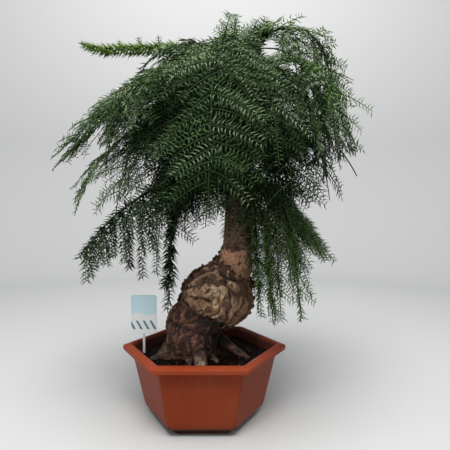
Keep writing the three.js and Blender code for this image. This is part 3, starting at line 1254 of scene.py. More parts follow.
@dataclass
class Spots:
    """Points of the even trunk, how far each faces the front, and random bumps of three sizes there."""

    points: Array
    front: Array

    def __post_init__(self) -> None:
        """Works out the bumps, from -1 to 1."""
        self.coarse = noise_at(self.points, 26.0)
        self.middle = noise_at(self.points, 10.0, 2.3)
        self.small = noise_at(self.points, 4.5, 5.9)


def beside(points: Array, path: Sequence[Sequence[float]], width: float) -> Array:
    """Returns 1 on a path across and up the front, falling towards 0 past a width beside it."""
    return bell(distance_to_path(points[:, [0, 2]], path) / width)


@dataclass
class Trunk:
    """The trunk from the soil to its tip: column, neck, burl, lump and roots, with the bark's relief."""

    stations: tuple[tuple[float, float, float, float], ...] = (
        (-20, -8, 96, 46),
        (-20, -8, 130, 44),
        (-16, -8, 162, 43),
        (2, -9, 194, 49),
        (24, -8, 224, 54),
        (44, -4, 252, 42),
        (57, -1, 274, 33),
        (60, 0, 298, 30),
        (61, 0, 305, 26.5),
        (61, 0, 337, 25),
        (63, 0, 412, 21.5),
        (66, 1, 492, 18),
        (70, 2, 572, 14),
        (72, 3, 624, 10.5),
        (72, 4, 654, 6),
    )
    column_start: int = 8
    steps: int = 90
    sides: int = 48
    ripple: float = 0.04
    phase: float = 0.8
    burl: Swelling = Swelling((22, -12, 214), (63, 62, 55), 0.03, 0.4)
    lump: Swelling = Swelling((-20, -14, 140), (46, 50, 42), 0.05, 2.1)
    shoulder: Swelling = Swelling((-39, -9, 164), (29, 37, 43), 0.05, 1.2)
    roots: tuple[Root, ...] = (
        Root(262, 20, 74, 9, 6, bend=6),
        Root(194, 22, 82, 18, 34),
        Root(284, 26, 104, 16, 58, bend=0),
        Root(346, 26, 106, 12, 48),
        Root(305, 24, 74, 8, 6),
        Root(212, 26, 68, 11, 10),
        Root(128, 24, 76, 14, 18),
        Root(48, 24, 84, 13, 16),
    )
    stub_path: tuple[Point, ...] = ((70, -4, 228), (84, -2, 234), (98, 0, 236), (111, 2, 236))
    stub_radii: tuple[float, ...] = (6.5, 5.0, 3.6, 2.0)
    stub_sides: int = 12
    foot: Pair = (-20, -8)
    root_top: float = 138
    root_out: Pair = (42, 60)
    ground_cut: float = 106
    voxel: float = 1.55
    smoothing: int = 5
    cracks: tuple[Crack, ...] = (
        Crack(((26, 279), (33, 267), (41, 258), (58, 251), (75, 248)), 3.4, 5.0),
        Crack(((-15, 222), (-4, 225), (13, 220)), 2.8, 5.0),
        Crack(((8, 190), (18, 186), (28, 190)), 4.0, 6.0),
        Crack(((-46, 219), (-29, 207), (-18, 198), (-4, 188), (8, 183), (35, 172)), 5.5, 7.5),
        Crack(((-30, 236), (-14, 242), (2, 250), (14, 256)), 2.2, 3.0),
        Crack(((40, 200), (47, 220), (45, 240)), 2.0, 3.0),
        Crack(((-22, 205), (-8, 200), (6, 204)), 1.8, 2.6),
        Crack(((22, 214), (30, 226), (29, 238)), 1.8, 2.6),
        Crack(((-62, 178), (-40, 170), (-18, 167), (6, 158)), 1.6, 2.2),
    )
    knobs: tuple[tuple[Point, float, float], ...] = (
        ((-34, -58, 190), 20, 5.0),
        ((-52, -40, 150), 18, 4.0),
        ((8, -70, 236), 13, 3.0),
    )
    worn_patches: tuple[tuple[tuple[Pair, ...], float], ...] = (
        (((-10, 237), (2, 232)), 11),
        (((-24, 208), (10, 202)), 12),
    )
    pale_patch: tuple[Pair, ...] = ((8, 242), (24, 236))
    pale_tone: Colour = (0.86, 0.68, 0.46)
    red_patch: tuple[Pair, ...] = ((-40, 186), (-24, 192))
    red_tone: Colour = (0.42, 0.16, 0.095)
    stain_tone: Colour = (0.56, 0.46, 0.42)
    pale_root: Point = (4, -104, 124)
    pale_root_tone: Colour = (0.62, 0.47, 0.33)
    collar_height: float = 301
    left_rim: tuple[Pair, ...] = ((-46, 232), (-18, 262), (20, 282))
    burl_eye: Point = (0, -74, 226)
    lump_eye: Point = (-33, -66, 186)
    burl_tones: Tones = Tones((0.036, 0.016, 0.008), (0.34, 0.200, 0.110), (0.76, 0.52, 0.32))
    lump_tones: Tones = Tones((0.010, 0.004, 0.002), (0.046, 0.016, 0.008), (0.21, 0.094, 0.056))
    neck_tones: Tones = Tones((0.09, 0.045, 0.030), (0.60, 0.31, 0.19), (0.78, 0.45, 0.29))
    column_tones: Tones = Tones((0.045, 0.035, 0.020), (0.17, 0.115, 0.068), (0.30, 0.205, 0.125))
    root_tones: Tones = Tones((0.02, 0.011, 0.007), (0.10, 0.053, 0.033), (0.26, 0.165, 0.11))
    reliefs: dict[str, float] = field(
        default_factory=lambda: {"column": 1.7, "neck": 1.6, "burl": 4.8, "lump": 5.0, "root": 2.0}
    )
    column_growth: float = 1.3
    flake_count: int = 320
    flake_sink: float = 0.3
    flake_sizes: Pair = (0.4, 1.8)
    flake_tone: Colour = (0.13, 0.066, 0.040)
    seed: int = 11

    def at_height(self, height: float) -> tuple[Array, float]:
        """The upper trunk at a height.

        Args:
            height: the height.

        Returns:
            Its centre and its radius.
        """
        rows = np.array(self.stations[self.column_start - 1 :], float)
        row = [np.interp(height, rows[:, 2], rows[:, axis]) for axis in range(4)]
        return np.array(row[:3]), row[3]

    def core(self) -> Object:
        """Melts the trunk's forms into one even mesh.

        Returns:
            The trunk as one piece.
        """
        rows = np.array(self.stations, float)
        places = np.linspace(0, len(rows) - 1, self.steps)
        columns = [np.interp(places, np.arange(len(rows)), rows[:, axis]) for axis in range(4)]
        line = np.stack(columns, axis=-1)
        ring_scale = (len(rows) - 1) / (self.steps - 1)

        def wave(angle: Array, ring: Array) -> Array:
            """Returns the slow ripple of the trunk's outline."""
            return 1 + self.ripple * slow_wave(angle, ring * ring_scale, self.phase)

        parts = [tube(line[:, :3], line[:, 3], self.sides, wave)]
        parts += [swelling.shape() for swelling in (self.burl, self.lump, self.shoulder)]
        parts += [root.shape() for root in self.roots]
        parts.append(tube(np.array(self.stub_path, float), self.stub_radii, self.stub_sides))
        piece = Shape.joined(parts).object("trunk_bark")
        melt = piece.modifiers.new("melt", "REMESH")
        melt.mode = "VOXEL"
        melt.voxel_size = self.voxel * MM
        ease_out = piece.modifiers.new("ease", "SMOOTH")
        ease_out.iterations = self.smoothing
        made_plain(piece)
        return piece

    def folds(self, spots: Spots, eye: Point, heart: Point, grain: float, along: float) -> Array:
        """Rounded folds with sharp clefts between them, in broken rings round an eye of the bark.

        Args:
            spots: spots of the trunk.
            eye: the middle of the rings.
            heart: the middle of the growth that the eye lies on.
            grain: the width of a fold.
            along: how often a fold breaks along its ring.

        Returns:
            The height of each spot, from 0 in a cleft to about 1.
        """
        axis = unit(np.array(eye, float) - np.array(heart, float))
        across = unit(np.cross(axis, UP))
        away = spots.points - np.array(eye, float)
        turn = np.arctan2(away @ np.cross(across, axis), away @ across)
        out = np.linalg.norm(away, axis=1) + 9 * spots.coarse + 4 * spots.middle
        flow = np.stack([out / grain, along * np.cos(turn), along * np.sin(turn)], axis=-1)
        return np.clip(np.abs(noise_at(flow, 1.0, grain)) * 2.6, 0, 1.1)

    @staticmethod
    def neck_line(x: Array) -> Array:
        """Returns the height of the line between burl and neck."""
        return 278 - 0.61 * (x - 26)

    @staticmethod
    def crease_line(x: Array) -> Array:
        """Returns the height of the crease between lump and burl."""
        return 212 - 0.55 * (x + 41)

    def zones(self, points: Array) -> dict[str, Array]:
        """The zones of the bark.

        Args:
            points: points of the trunk.

        Returns:
            For each zone how far each point belongs to it.
        """
        x, z = points[:, 0], points[:, 2]
        ragged = 2.5 * noise_at(points, 9.0, 4.2)
        upper = ease(z + ragged - self.neck_line(x), -2, 2)
        column = ease(z + ragged, self.collar_height - 2, self.collar_height + 2)
        lump = ease(self.crease_line(x) - z - ragged, -3, 4)
        out = np.hypot(x - self.foot[0], points[:, 1] - self.foot[1])
        root = ease(self.root_top - z, 0, 14) * ease(out, *self.root_out)
        return {
            "column": column,
            "neck": upper * (1 - column),
            "burl": (1 - upper) * (1 - lump),
            "lump": (1 - upper) * lump * (1 - root),
            "root": (1 - upper) * lump * root,
        }

    def burl_bark(self, spots: Spots) -> Array:
        """The burl: folds round its eye, lines on its right and worn patches.

        Args:
            spots: spots of the trunk.

        Returns:
            The height of each spot.
        """
        folds = self.folds(spots, self.burl_eye, self.burl.at, 15.0, 1.1)
        lines = self.folds(spots, self.burl_eye, self.burl.at, 4.5, 1.3)
        grained = mix(0.14, 0.46, ease(spots.points[:, 0] + 8 * spots.middle, 2, 30))
        high = 0.66 * folds + grained * lines + 0.2 * spots.small + 0.02
        for path, width in self.worn_patches:
            worn = beside(spots.points, path, width) * spots.front
            high = mix(high, 0.55 + 0.22 * spots.middle + 0.25 * spots.small, 0.8 * worn)
        return high

    def lump_bark(self, spots: Spots) -> Array:
        """The lump: upright ribs that turn into folds round its eye above.

        Args:
            spots: spots of the trunk.

        Returns:
            The height of each spot.
        """
        folds = self.folds(spots, self.lump_eye, self.shoulder.at, 8.0, 1.4)
        ribs = np.clip(np.abs(noise_at(spots.points * (1, 1, 0.2), 9.0, 8.1)) * 2.6, 0, 1.1)
        folds = mix(ribs, folds, ease(spots.points[:, 2] + 8 * spots.coarse, 146, 172))
        lines = self.folds(spots, self.lump_eye, self.shoulder.at, 3.4, 3.0)
        return 0.62 * folds + 0.34 * lines + 0.28 * spots.small - 0.04

    def neck_bark(self, spots: Spots) -> Array:
        """The neck: smooth, with pits and a torn left edge.

        Args:
            spots: spots of the trunk.

        Returns:
            The height of each spot.
        """
        pits = ease(noise_at(spots.points * (1, 1, 0.6), 5.5, 1.7), 0.34, 0.5)
        edge = noise_at(spots.points, 6.0, 2.9) + 0.10 * (38 - spots.points[:, 0]) / 4
        torn = ease(edge, 0.25, 0.55) * spots.front
        return 0.62 + 0.35 * spots.middle + 0.15 * spots.small - 0.75 * pits - 0.6 * torn

    def column_bark(self, spots: Spots) -> Array:
        """The column: uneven hoops.

        Args:
            spots: spots of the trunk.

        Returns:
            The height of each spot.
        """
        hoop = (spots.points[:, 2] + 5 * spots.coarse + 3.5 * spots.middle) / 7.5
        hoops = 0.38 * np.sin(2 * math.pi * (hoop - np.floor(hoop))) * (0.5 + spots.middle)
        return 0.5 + hoops + 0.45 * spots.small + 0.2 * spots.coarse

    def root_bark(self, spots: Spots) -> Array:
        """Returns the heights of the roots, which have a lengthwise grain."""
        return 0.5 + 0.4 * noise_at(spots.points * (0.35, 0.35, 1), 5.0, 6.6) + 0.25 * spots.small

    def stained_and_shaded(self, colour: Array, spots: Spots, zones: dict[str, Array], lump_high: Array) -> Array:
        """The bark's colour with its stains, pale patches and painted shade on the lump's right side.

        Args:
            colour: the plain colour of each spot.
            spots: spots of the trunk.
            zones: how far each spot belongs to each zone.
            lump_high: the heights of the lump's bark.

        Returns:
            The new colours.
        """
        points, front = spots.points, spots.front
        stain = ease(noise_at(points, 15.0, 7.1), 0.1, 0.5) * zones["burl"]
        stain = np.maximum(stain, ease(points[:, 0] + 10 * spots.middle, 46, 60) * zones["burl"])
        colour = colour * mix(1.0, np.array(self.stain_tone), stain[:, None])
        pale = 0.8 * beside(points, self.pale_patch, 9) * front * ease(spots.small, -0.3, 0.2)
        colour = mix(colour, np.array(self.pale_tone), pale[:, None])
        red = 0.75 * beside(points, self.red_patch, 11) * front * zones["lump"] * ease(lump_high, 0.2, 0.8)
        colour = mix(colour, np.array(self.red_tone), red[:, None])
        # Painted shade: the lump's front is darkened towards its right side.
        shaded = 0.6 * ease(points[:, 0], -8, 14) * zones["lump"] * front
        colour = colour * (1 - shaded)[:, None]
        earthy = 0.45 * ease(-points[:, 0], 52, 74) * zones["root"]
        colour = colour * (1 - earthy)[:, None]
        tip = bell(np.linalg.norm(points - np.array(self.pale_root), axis=1) / 16) * zones["root"]
        tip = 0.9 * tip * ease(spots.small, -0.4, 0.1)
        return mix(colour, np.array(self.pale_root_tone), tip[:, None])

    def relief(self, spots: Spots) -> tuple[Array, Array]:
        """The bark's relief.

        Args:
            spots: spots of the trunk.

        Returns:
            How far each spot stands out, and its colour.
        """
        points = spots.points
        zones = self.zones(points)
        highs = {
            "column": (self.column_bark(spots), self.column_tones),
            "neck": (self.neck_bark(spots), self.neck_tones),
            "burl": (self.burl_bark(spots), self.burl_tones),
            "lump": (self.lump_bark(spots), self.lump_tones),
            "root": (self.root_bark(spots), self.root_tones),
        }
        stand = 2.2 * spots.coarse * (1 - zones["column"]) + self.column_growth * zones["column"]
        for place, reach, height in self.knobs:
            stand += height * bell(np.linalg.norm(points - np.array(place), axis=1) / reach)
        colour = np.zeros((len(points), 3))
        for name, weight in zones.items():
            high, tones = highs[name]
            high = np.clip(high, 0, 1)
            stand += weight * self.reliefs[name] * (high - 0.5)
            # The tones darken clefts and lighten ridges: the bark's own tone with painted shade and painted
            # highlight.
            colour += weight[:, None] * tones.at(high)
        colour = self.stained_and_shaded(colour, spots, zones, highs["lump"][0])

        shade = np.zeros(len(points))
        wobble = points + np.stack([spots.middle, np.zeros(len(points)), spots.small], axis=-1) * 3
        for crack in self.cracks:
            near = beside(wobble, crack.path, crack.width) * spots.front
            stand -= crack.depth * near
            shade = np.maximum(shade, near)
        collar = bell((points[:, 2] + 3 * spots.middle - self.collar_height) / 2.6)
        stand += 1.8 * collar * (spots.middle + 0.3)
        shade = np.maximum(shade, 0.6 * collar * ease(-spots.small, 0, 0.3))
        return stand, colour * (1 - 0.88 * shade)[:, None]

    def flakes(self, points: Array, normals: Array, bark: Material) -> Object:
        """Lifts curled flakes of bark along the collar, the cleft under the neck and the burl's rim.

        Args:
            points: points of the finished bark.
            normals: the outward directions there.
            bark: their material.

        Returns:
            The flakes as one piece.
        """
        x, z = points[:, 0], points[:, 2]
        cleft = bell((z - self.neck_line(x)) / 5)
        collar = 0.5 * bell((z - self.collar_height) / 4)
        crease = 0.45 * bell((self.crease_line(x) - z) / 7) * (z > 160)
        burl = 0.10 * self.zones(points)["burl"]
        left = 0.9 * beside(points, self.left_rim, 7)
        weight = cleft + collar + crease + burl + left
        chooser = np.random.default_rng(self.seed)
        chosen = chooser.choice(len(points), self.flake_count, replace=False, p=weight / weight.sum())
        sideways = np.cross(normals[chosen], UP) * chooser.uniform(-1, 1, (len(chosen), 1))
        hang = sideways + chooser.uniform(-0.2, 1.0, (len(chosen), 1)) * UP
        base = points[chosen] - normals[chosen] * self.flake_sink

        mesh = bpy.data.meshes.new("bark_flakes")
        mesh.from_pydata((base * MM).tolist(), [], [])
        for name, vectors in (("outward", normals[chosen]), ("hang", hang)):
            keep_numbers(mesh, name, vectors)
        piece = linked("bark_flakes", mesh)
        flake = self.flake().object("one_flake")
        least, most = self.flake_sizes
        tree = GeometryTree("bark_flakes", Flake=flake, Smallest=least, Largest=most, Seed=self.seed)
        points_in = tree.add("GeometryNodeMeshToPoints", {"Mesh": tree.source["Geometry"]})["Points"]
        turn = tree.facing(tree.named("outward", "FLOAT_VECTOR"), tree.named("hang", "FLOAT_VECTOR"))
        seed = tree.source["Seed"]
        size = tree.random(tree.source["Smallest"], tree.source["Largest"], seed)
        wide = size * tree.random(0.6, 1.4, seed + 1)
        flakes = tree.scattered(points_in, "Flake", turn, tree.vector(size, wide, size))
        tree.run(piece, tree.painted(flakes, bark))
        bpy.data.objects.remove(flake)
        return piece

    def flake(self) -> Shape:
        """One curled flake, its root sunk in the bark and its free edge lifted.

        Returns:
            A closed shape.
        """
        along = np.linspace(-2.5, 7.5, 5)
        lift = np.array((-1.0, 0.2, 0.7, 1.5, 3.0))
        halves = np.array((3.2, 4.2, 4.4, 3.6, 1.6))
        thickness = np.array((0.9, 0.8, 0.7, 0.5, 0.2))
        rings = []
        for x, z, half, thick in zip(along, lift, halves, thickness):
            edge = z - 0.25 * half
            top = [(x, -half, edge), (x, 0, z), (x, half, edge)]
            under = [(x, side, height - thick) for _, side, height in reversed(top)]
            rings.append(top + under)
        return loft(np.array(rings))

    def build(self) -> None:
        """Makes the trunk's pieces."""
        piece = self.core()
        mesh = piece.data
        points, normals = surface(mesh)
        stand, colour = self.relief(Spots(points, ease(-normals[:, 1], -0.1, 0.35)))
        moved = points + normals * stand[:, None]
        moved[:, 2] = np.maximum(moved[:, 2], self.ground_cut)
        move_points(mesh, moved)
        paint(mesh, colour)
        smooth(piece)
        bark = Bark().material("trunk_bark")
        put(piece, ["trunk"], bark)
        flakes = self.flakes(moved, normals, bark)
        count = len(flakes.data.vertices)
        paint(flakes.data, np.tile(self.flake_tone, (count, 1)))
        put(flakes, ["trunk"])


def paint(mesh: Mesh, colour: Array) -> None:
    """Keeps a colour for each point of a bark mesh.

    Args:
        mesh: the mesh.
        colour: the colours, one a row.
    """
    layer = mesh.attributes.new("bark_colour", "FLOAT_COLOR", "POINT")
    solid = np.hstack([colour, np.ones((len(colour), 1))])
    layer.data.foreach_set("color", solid.astype(np.float32).ravel())


# Crown


@dataclass(frozen=True)
class DroopingLine:
    """A line in one upright plane that bends down evenly until it hangs at a steady angle."""

    start: Array
    heading: float
    rise: float
    droop: float
    hang: float
    length: float

    FINE = 4
    STEPS = 14

    def rise_at(self, distance: Any) -> Any:
        """Returns the line's rise after a distance along it."""
        return np.maximum(self.hang, self.rise - self.droop * np.asarray(distance) / 100)

    def points(self, begin: float, end: float, steps: int) -> Array:
        """Points along the line.

        Args:
            begin: the distance of the first one.
            end: the distance of the last one.
            steps: the straight pieces between them.

        Returns:
            The points, one a row.
        """
        lead = max(1, round(begin / max(end - begin, 1) * steps)) * self.FINE if begin > 0 else 0
        before, after = np.linspace(0, begin, lead + 1), np.linspace(begin, end, steps * self.FINE + 1)
        marks = np.concatenate([before[:-1], after])
        hops = direction(self.heading, self.rise_at((marks[1:] + marks[:-1]) / 2)) * np.diff(marks)[:, None]
        track = np.vstack([self.start, self.start + np.cumsum(hops, axis=0)])
        return track[lead :: self.FINE]

    def point_at(self, distance: float) -> Array:
        """Returns the point after a distance along the line."""
        return self.points(0, distance, self.STEPS)[-1]


# The radii of a twig that is only a row of needles, or the needles of a bare one.
NONE = (0.0, 0.0)

# Where side stems fork from a limb: the share of its length and the angle aside.
FULL = ((0.14, 68), (0.17, -68), (0.21, 42), (0.24, -42), (0.30, 25), (0.34, -25), (0.41, 11), (0.46, -11))
LEFTWARD = ((0.15, -66), (0.20, -44), (0.28, -26), (0.33, 22), (0.38, -14), (0.44, 10))
RIGHTWARD = ((0.15, 66), (0.20, 44), (0.28, 26), (0.33, -22), (0.38, 14), (0.44, -10))
FEW = ((0.22, 40), (0.27, -40), (0.36, 20), (0.42, -20))
CAP = ((0.02, -165), (0.06, -145), (0.12, -120))
LOW = ((0.02, -20), (0.06, 84), (0.14, -55), (0.26, 30))


@dataclass(frozen=True)
class Limb:
    """A bough, the stem that it runs on into and the sprays on it.

    It leaves the trunk at a height with a heading and a rise, droops by degrees for each 100 mm until it
    hangs at an angle, and bears twigs of a length, but for the needled end.
    """

    name: str
    height: float
    heading: float
    rise: float
    droop: float
    hang: float
    length: float
    twig: float
    needled: float = 40
    spread: float = 66
    fall: float = 8
    spacing: float = 20
    last: float = 0.62
    rows: int = 1
    needle: float = 15.5
    stout: float = 1
    lit: float = 0
    first: float = 0.2
    forks: tuple[Pair, ...] = FULL

    def line(self, start: Array) -> DroopingLine:
        """Returns its line from a start."""
        return DroopingLine(start, self.heading, self.rise, self.droop, self.hang, self.length)


class Tint(Enum):
    """Plain needle colours with their gloss, dealt out by spray. The first five run from painted shade to
    painted light: darker and paler copies of the needles' green, picked by the light at each spray, the
    palest also a little greyer or yellower. The last two are the needles' own colours.
    """

    SHADE = ((0.004, 0.010, 0.003), 0.03)
    DEEP = ((0.011, 0.028, 0.008), 0.10)
    PINE = ((0.057, 0.110, 0.031), 0.30)
    SILVER = ((0.180, 0.262, 0.122), 0.50)
    FRESH = ((0.088, 0.185, 0.030), 0.35)
    YOUNG = ((0.092, 0.165, 0.020), 0.24)
    RUST = ((0.150, 0.070, 0.035), 0.20)


@dataclass
class Twig:
    """One twig with the needles that it bears, which spread to both sides of it."""

    points: Array
    radii: Pair
    needles: Pair
    mass: str
    side: Array
    tint: Tint | None = None
    stout: float = 1


@dataclass
class CrownLight:
    """How much soft light from above and outside reaches places among the twigs."""

    twigs: Array
    cell: float = 14
    reach: int = 13
    block: float = 0.035
    rises: tuple[float, ...] = (15, 45, 78)
    turns: int = 8

    def at(self, places: Array) -> Array:
        """The light at places in the crown.

        Args:
            places: the places, one a row.

        Returns:
            The share that reaches each, from 0 to 1.
        """
        low = self.twigs.min(axis=0) - self.cell
        shape = np.ceil((self.twigs.max(axis=0) - low) / self.cell).astype(int) + 2
        crowd = np.zeros(shape)
        np.add.at(crowd, tuple(((self.twigs - low) / self.cell).astype(int).T), 1)
        total = np.zeros(len(places))
        for rise in self.rises:
            for turn in range(self.turns):
                way = direction(360 / self.turns * turn + rise, rise) * self.cell
                passed = np.zeros(len(places))
                for step in range(1, self.reach):
                    cells = ((places + way * step - low) / self.cell).astype(int)
                    inside = ((cells >= 0) & (cells < shape)).all(axis=1)
                    passed[inside] += crowd[tuple(cells[inside].T)]
                total += np.exp(-self.block * passed)
        return total / (len(self.rises) * self.turns)


@dataclass
class Crown:
    """Boughs, stems, branchlets and needles, grown by one seeded rule."""

    trunk: Trunk
    limbs: tuple[Limb, ...] = (
        Limb("left_shoot", 611, 173, 50, 33, 0.5, 276, 34, needled=150, forks=()),
        Limb("left_upper", 624, 208, 42, 46, -70, 225, 76),
        Limb(
            "right_top", 621, 348, 92, 78, -76, 392, 74, needled=12, spacing=24, stout=1.25,
            lit=0.16, first=0.09, forks=FEW,
        ),
        Limb("left_top", 616, 185, 18, 26, -46, 388, 90, lit=0.08),
        Limb("back_top", 612, 82, 45, 42, -80, 360, 100),
        Limb("front_top", 598, 257, 46, 44, -82, 446, 104, spread=76, lit=0.1),
        Limb("right_back_top", 592, 46, 52, 50, -80, 342, 96, spacing=27, lit=0.1, forks=FEW),
        Limb("left_back_top", 586, 140, 38, 32, -80, 357, 100),
        Limb(
            "left_front_top", 580, 226, 29, 30, -80, 350, 104, lit=0.08,
            forks=(*FULL, (0.38, 34), (0.5, 18)),
        ),
        Limb("right_front_top", 576, 308, 52, 51, -82, 318, 90, spacing=25, lit=0.2, forks=FULL[:5]),
        Limb("left_middle", 537, 198, 16, 25, -78, 374, 108, lit=0.08, forks=FULL[:5]),
        Limb("front_right_middle", 528, 290, 15, 38, -82, 295, 96, forks=LEFTWARD),
        Limb("back_middle", 522, 108, 12, 32, -80, 280, 98, forks=FEW),
        Limb(
            "front_left_middle", 515, 240, 15, 36, -82, 290, 96,
            forks=(*RIGHTWARD, (0.18, -58), (0.24, -42), (0.32, -28)),
        ),
        Limb("right_middle", 512, 352, 25, 52, -82, 200, 70),
        Limb(
            "left_hanging", 469, 209, 0, 43, -87, 338, 34, fall=40, spacing=26,
            rows=2, needle=18, stout=1.5, lit=-0.05, forks=(),
        ),
        Limb("right_back_low", 462, 55, -5, 34, -80, 300, 94, fall=24, forks=FEW),
        Limb("back_low", 456, 132, 0, 24, -70, 280, 98, fall=30, forks=((0.36, 22),)),
        Limb(
            "left_low", 452, 182, -2, 16, -56, 348, 152, needled=12, spread=96, fall=38, spacing=25,
            last=0.3, rows=2, needle=16, stout=1.5, lit=-0.05, first=0.42, forks=(),
        ),
        Limb(
            "right_low", 450, 8, -30, 14, -74, 240, 88, spread=50, fall=26, spacing=21, last=0.6, rows=2,
            stout=1.2, lit=0.45, forks=((0.22, 16), (0.30, -20)),
        ),
        Limb(
            "right_front_low", 440, 322, -15, 38, -82, 300, 80, fall=28, spacing=26,
            stout=1.2, lit=0.45, forks=FEW[:3],
        ),
        Limb(
            "right_hanging", 428, 338, -40, 40, -85, 272, 66, fall=28, spacing=25, last=0.8,
            stout=1.2, lit=0.45, forks=LOW,
        ),
    )
    leader: Limb = Limb(
        "leader", 654.3, 150, 64, 66, -60, 58, 46, needled=3, fall=-42, spacing=3.2,
        last=0.85, lit=0.25, first=0, forks=CAP,
    )
    gap: float = 0.3
    bough_share: float = 0.2
    bough_root: float = 5.4
    bough_root_share: float = 0.55
    bough_tip: float = 3.2
    bough_steps: int = 30
    bough_sides: int = 14
    bough_flare: float = 0.5
    bough_flare_rate: float = 9
    bough_rough: float = 0.35
    stem_tip: float = 0.75
    stem_steps: int = 20
    needled_steps: int = 14
    stem_needles: Pair = (0.8, 0.75)
    steep_fall: float = 20
    fork_first: float = 0.1
    fork_fall: float = 8
    fork_droop: float = 1.25
    fork_length: float = 0.88
    fork_vary: float = 0.22
    fork_twig: float = 0.85
    fork_root: float = 1.5
    inner_count: int = 9
    inner_part: Pair = (0.1, 0.4)
    inner_length: float = 66
    inner_fall: float = 15
    inner_vary: float = 40
    upturn: DroopingLine = DroopingLine(np.zeros(3), 175, 2, -52, -90, 50)
    upturn_steps: int = 12
    upturn_radii: Pair = (1.6, 1.2)
    upturn_needles: Pair = (16, 10)
    shoot_steps: int = 18
    shoot_rows: int = 6
    shoot_needles: Pair = (17, 16)
    shoot_stout: float = 1.45
    buds: tuple[Pair, ...] = ((8, 12), (28, 18), (66, 24), (104, 24))
    bud_turn: float = -20
    bud_rise: float = 72
    bud_steps: int = 4
    bud_radii: Pair = (1.2, 0.7)
    bud_needles: Pair = (10, 7.5)
    bud_stout: float = 1.6
    follow: float = 0.16
    droop: float = 36
    hang: float = -84
    jitter: float = 14
    vary: float = 0.24
    twig_root: float = 1.1
    twig_tip: float = 0.5
    twig_sides: int = 3
    spray_steps: int = 6
    spray_needles: Pair = (1, 0.75)
    needle_half: float = 0.080
    needle_belly: float = 0.36
    needle_lean: float = 84
    needle_tip_lean: float = 66
    needle_step: float = 2.9
    needle_fan: float = 0.5
    needle_tilt: float = 0.2
    needle_sizes: Pair = (0.78, 1.15)
    viewpoint: Point = (38, -770.5, 361)
    openings: tuple[tuple[float, float, float, float], ...] = (
        (114, 0, 664, 13),
        (168, 0, 630, 8),
        (192, 0, 581, 6),
        (-192, 0, 518, 8),
    )
    # Shares of the sprays for each tint, from the darkest painted shade to the most painted light.
    tint_shares: tuple[tuple[Tint, float], ...] = (
        (Tint.SHADE, 0.28),
        (Tint.DEEP, 0.29),
        (Tint.PINE, 0.24),
        (Tint.SILVER, 0.12),
        (Tint.FRESH, 0.07),
    )
    tint_vary: float = 0.08
    tail: DroopingLine = DroopingLine(np.array((237.0, -40.0, 476.0)), 0, -52, 20, -80, 54)
    tail_steps: int = 8
    tail_radii: Pair = (1.5, 1.0)
    tail_needles: Pair = (3, 3)
    seed: int = 20
    groups: dict[str, tuple[str, ...]] = field(
        default_factory=lambda: {
            "needles_top": ("left_shoot", "left_upper", "right_top", "left_top", "leader"),
            "needles_back": ("back_top", "right_back_top", "left_back_top", "back_middle"),
            "needles_front": ("front_top", "left_front_top", "right_front_top"),
            "needles_middle": ("left_middle", "front_right_middle", "front_left_middle", "right_middle"),
            "needles_low_left": ("left_hanging", "left_low", "back_low"),
            "needles_low_right": ("right_back_low", "right_low", "right_front_low", "right_hanging"),
        }
    )

    def line(self, limb: Limb) -> DroopingLine:
        """A limb's line, which starts on the trunk's axis.

        Args:
            limb: the limb.

        Returns:
            The line.
        """
        if limb is self.leader:
            start = np.array(self.trunk.stations[-1][:3]) + UP * self.gap
        else:
            start = self.trunk.at_height(limb.height)[0]
        return limb.line(start)

    def branchlets(
        self, limb: Limb, line: DroopingLine, begin: float, numbers: SeededNumbers
    ) -> list[tuple[DroopingLine, Array]]:
        """The branchlets of a stem, in opposite pairs.

        Args:
            limb: the limb.
            line: its line.
            begin: the distance along it where its stem begins.
            numbers: the limb's own seeded numbers.

        Returns:
            For each branchlet its line and the direction of its stem, in which its needles spread.
        """
        end = limb.length - limb.needled
        count = max(2, round((end - begin) / limb.spacing))
        lines = []
        for number in range(2 * count):
            share = (number // 2 + 0.5 + numbers.wander(0.2)) / count
            distance = mix(begin, end, share)
            aside = limb.spread if number % 2 else -limb.spread
            if limb is self.leader:
                aside = GOLDEN_ANGLE * number
            heading = limb.heading + aside + numbers.wander(self.jitter)
            rise = self.follow * float(line.rise_at(distance)) - limb.fall + numbers.wander(self.jitter)
            length = limb.twig * mix(1, limb.last, share) * (1 + numbers.wander(self.vary))
            spray = DroopingLine(line.point_at(distance), heading, rise, self.droop, self.hang, length)
            lines.append((spray, direction(limb.heading, line.rise_at(distance))))
        return lines

    def stems(self, limb: Limb, numbers: SeededNumbers) -> list[tuple[Limb, DroopingLine, float]]:
        """A limb's own stem and the side stems that fork from it.

        Args:
            limb: the limb.
            numbers: the limb's own seeded numbers.

        Returns:
            For each stem its numbers, its line and where on it the branchlets begin.
        """
        line = self.line(limb)
        stems = [(limb, line, limb.length * limb.first)]
        for share, aside in limb.forks:
            distance = limb.length * share
            side = replace(
                limb,
                heading=limb.heading + aside + numbers.wander(self.jitter),
                rise=float(line.rise_at(distance)) - self.fork_fall + numbers.wander(self.jitter),
                droop=limb.droop * self.fork_droop,
                length=(limb.length - distance) * self.fork_length * (1 + numbers.wander(self.fork_vary)),
                twig=limb.twig * self.fork_twig,
            )
            stems.append((side, side.line(line.point_at(distance)), side.length * self.fork_first))
        return stems

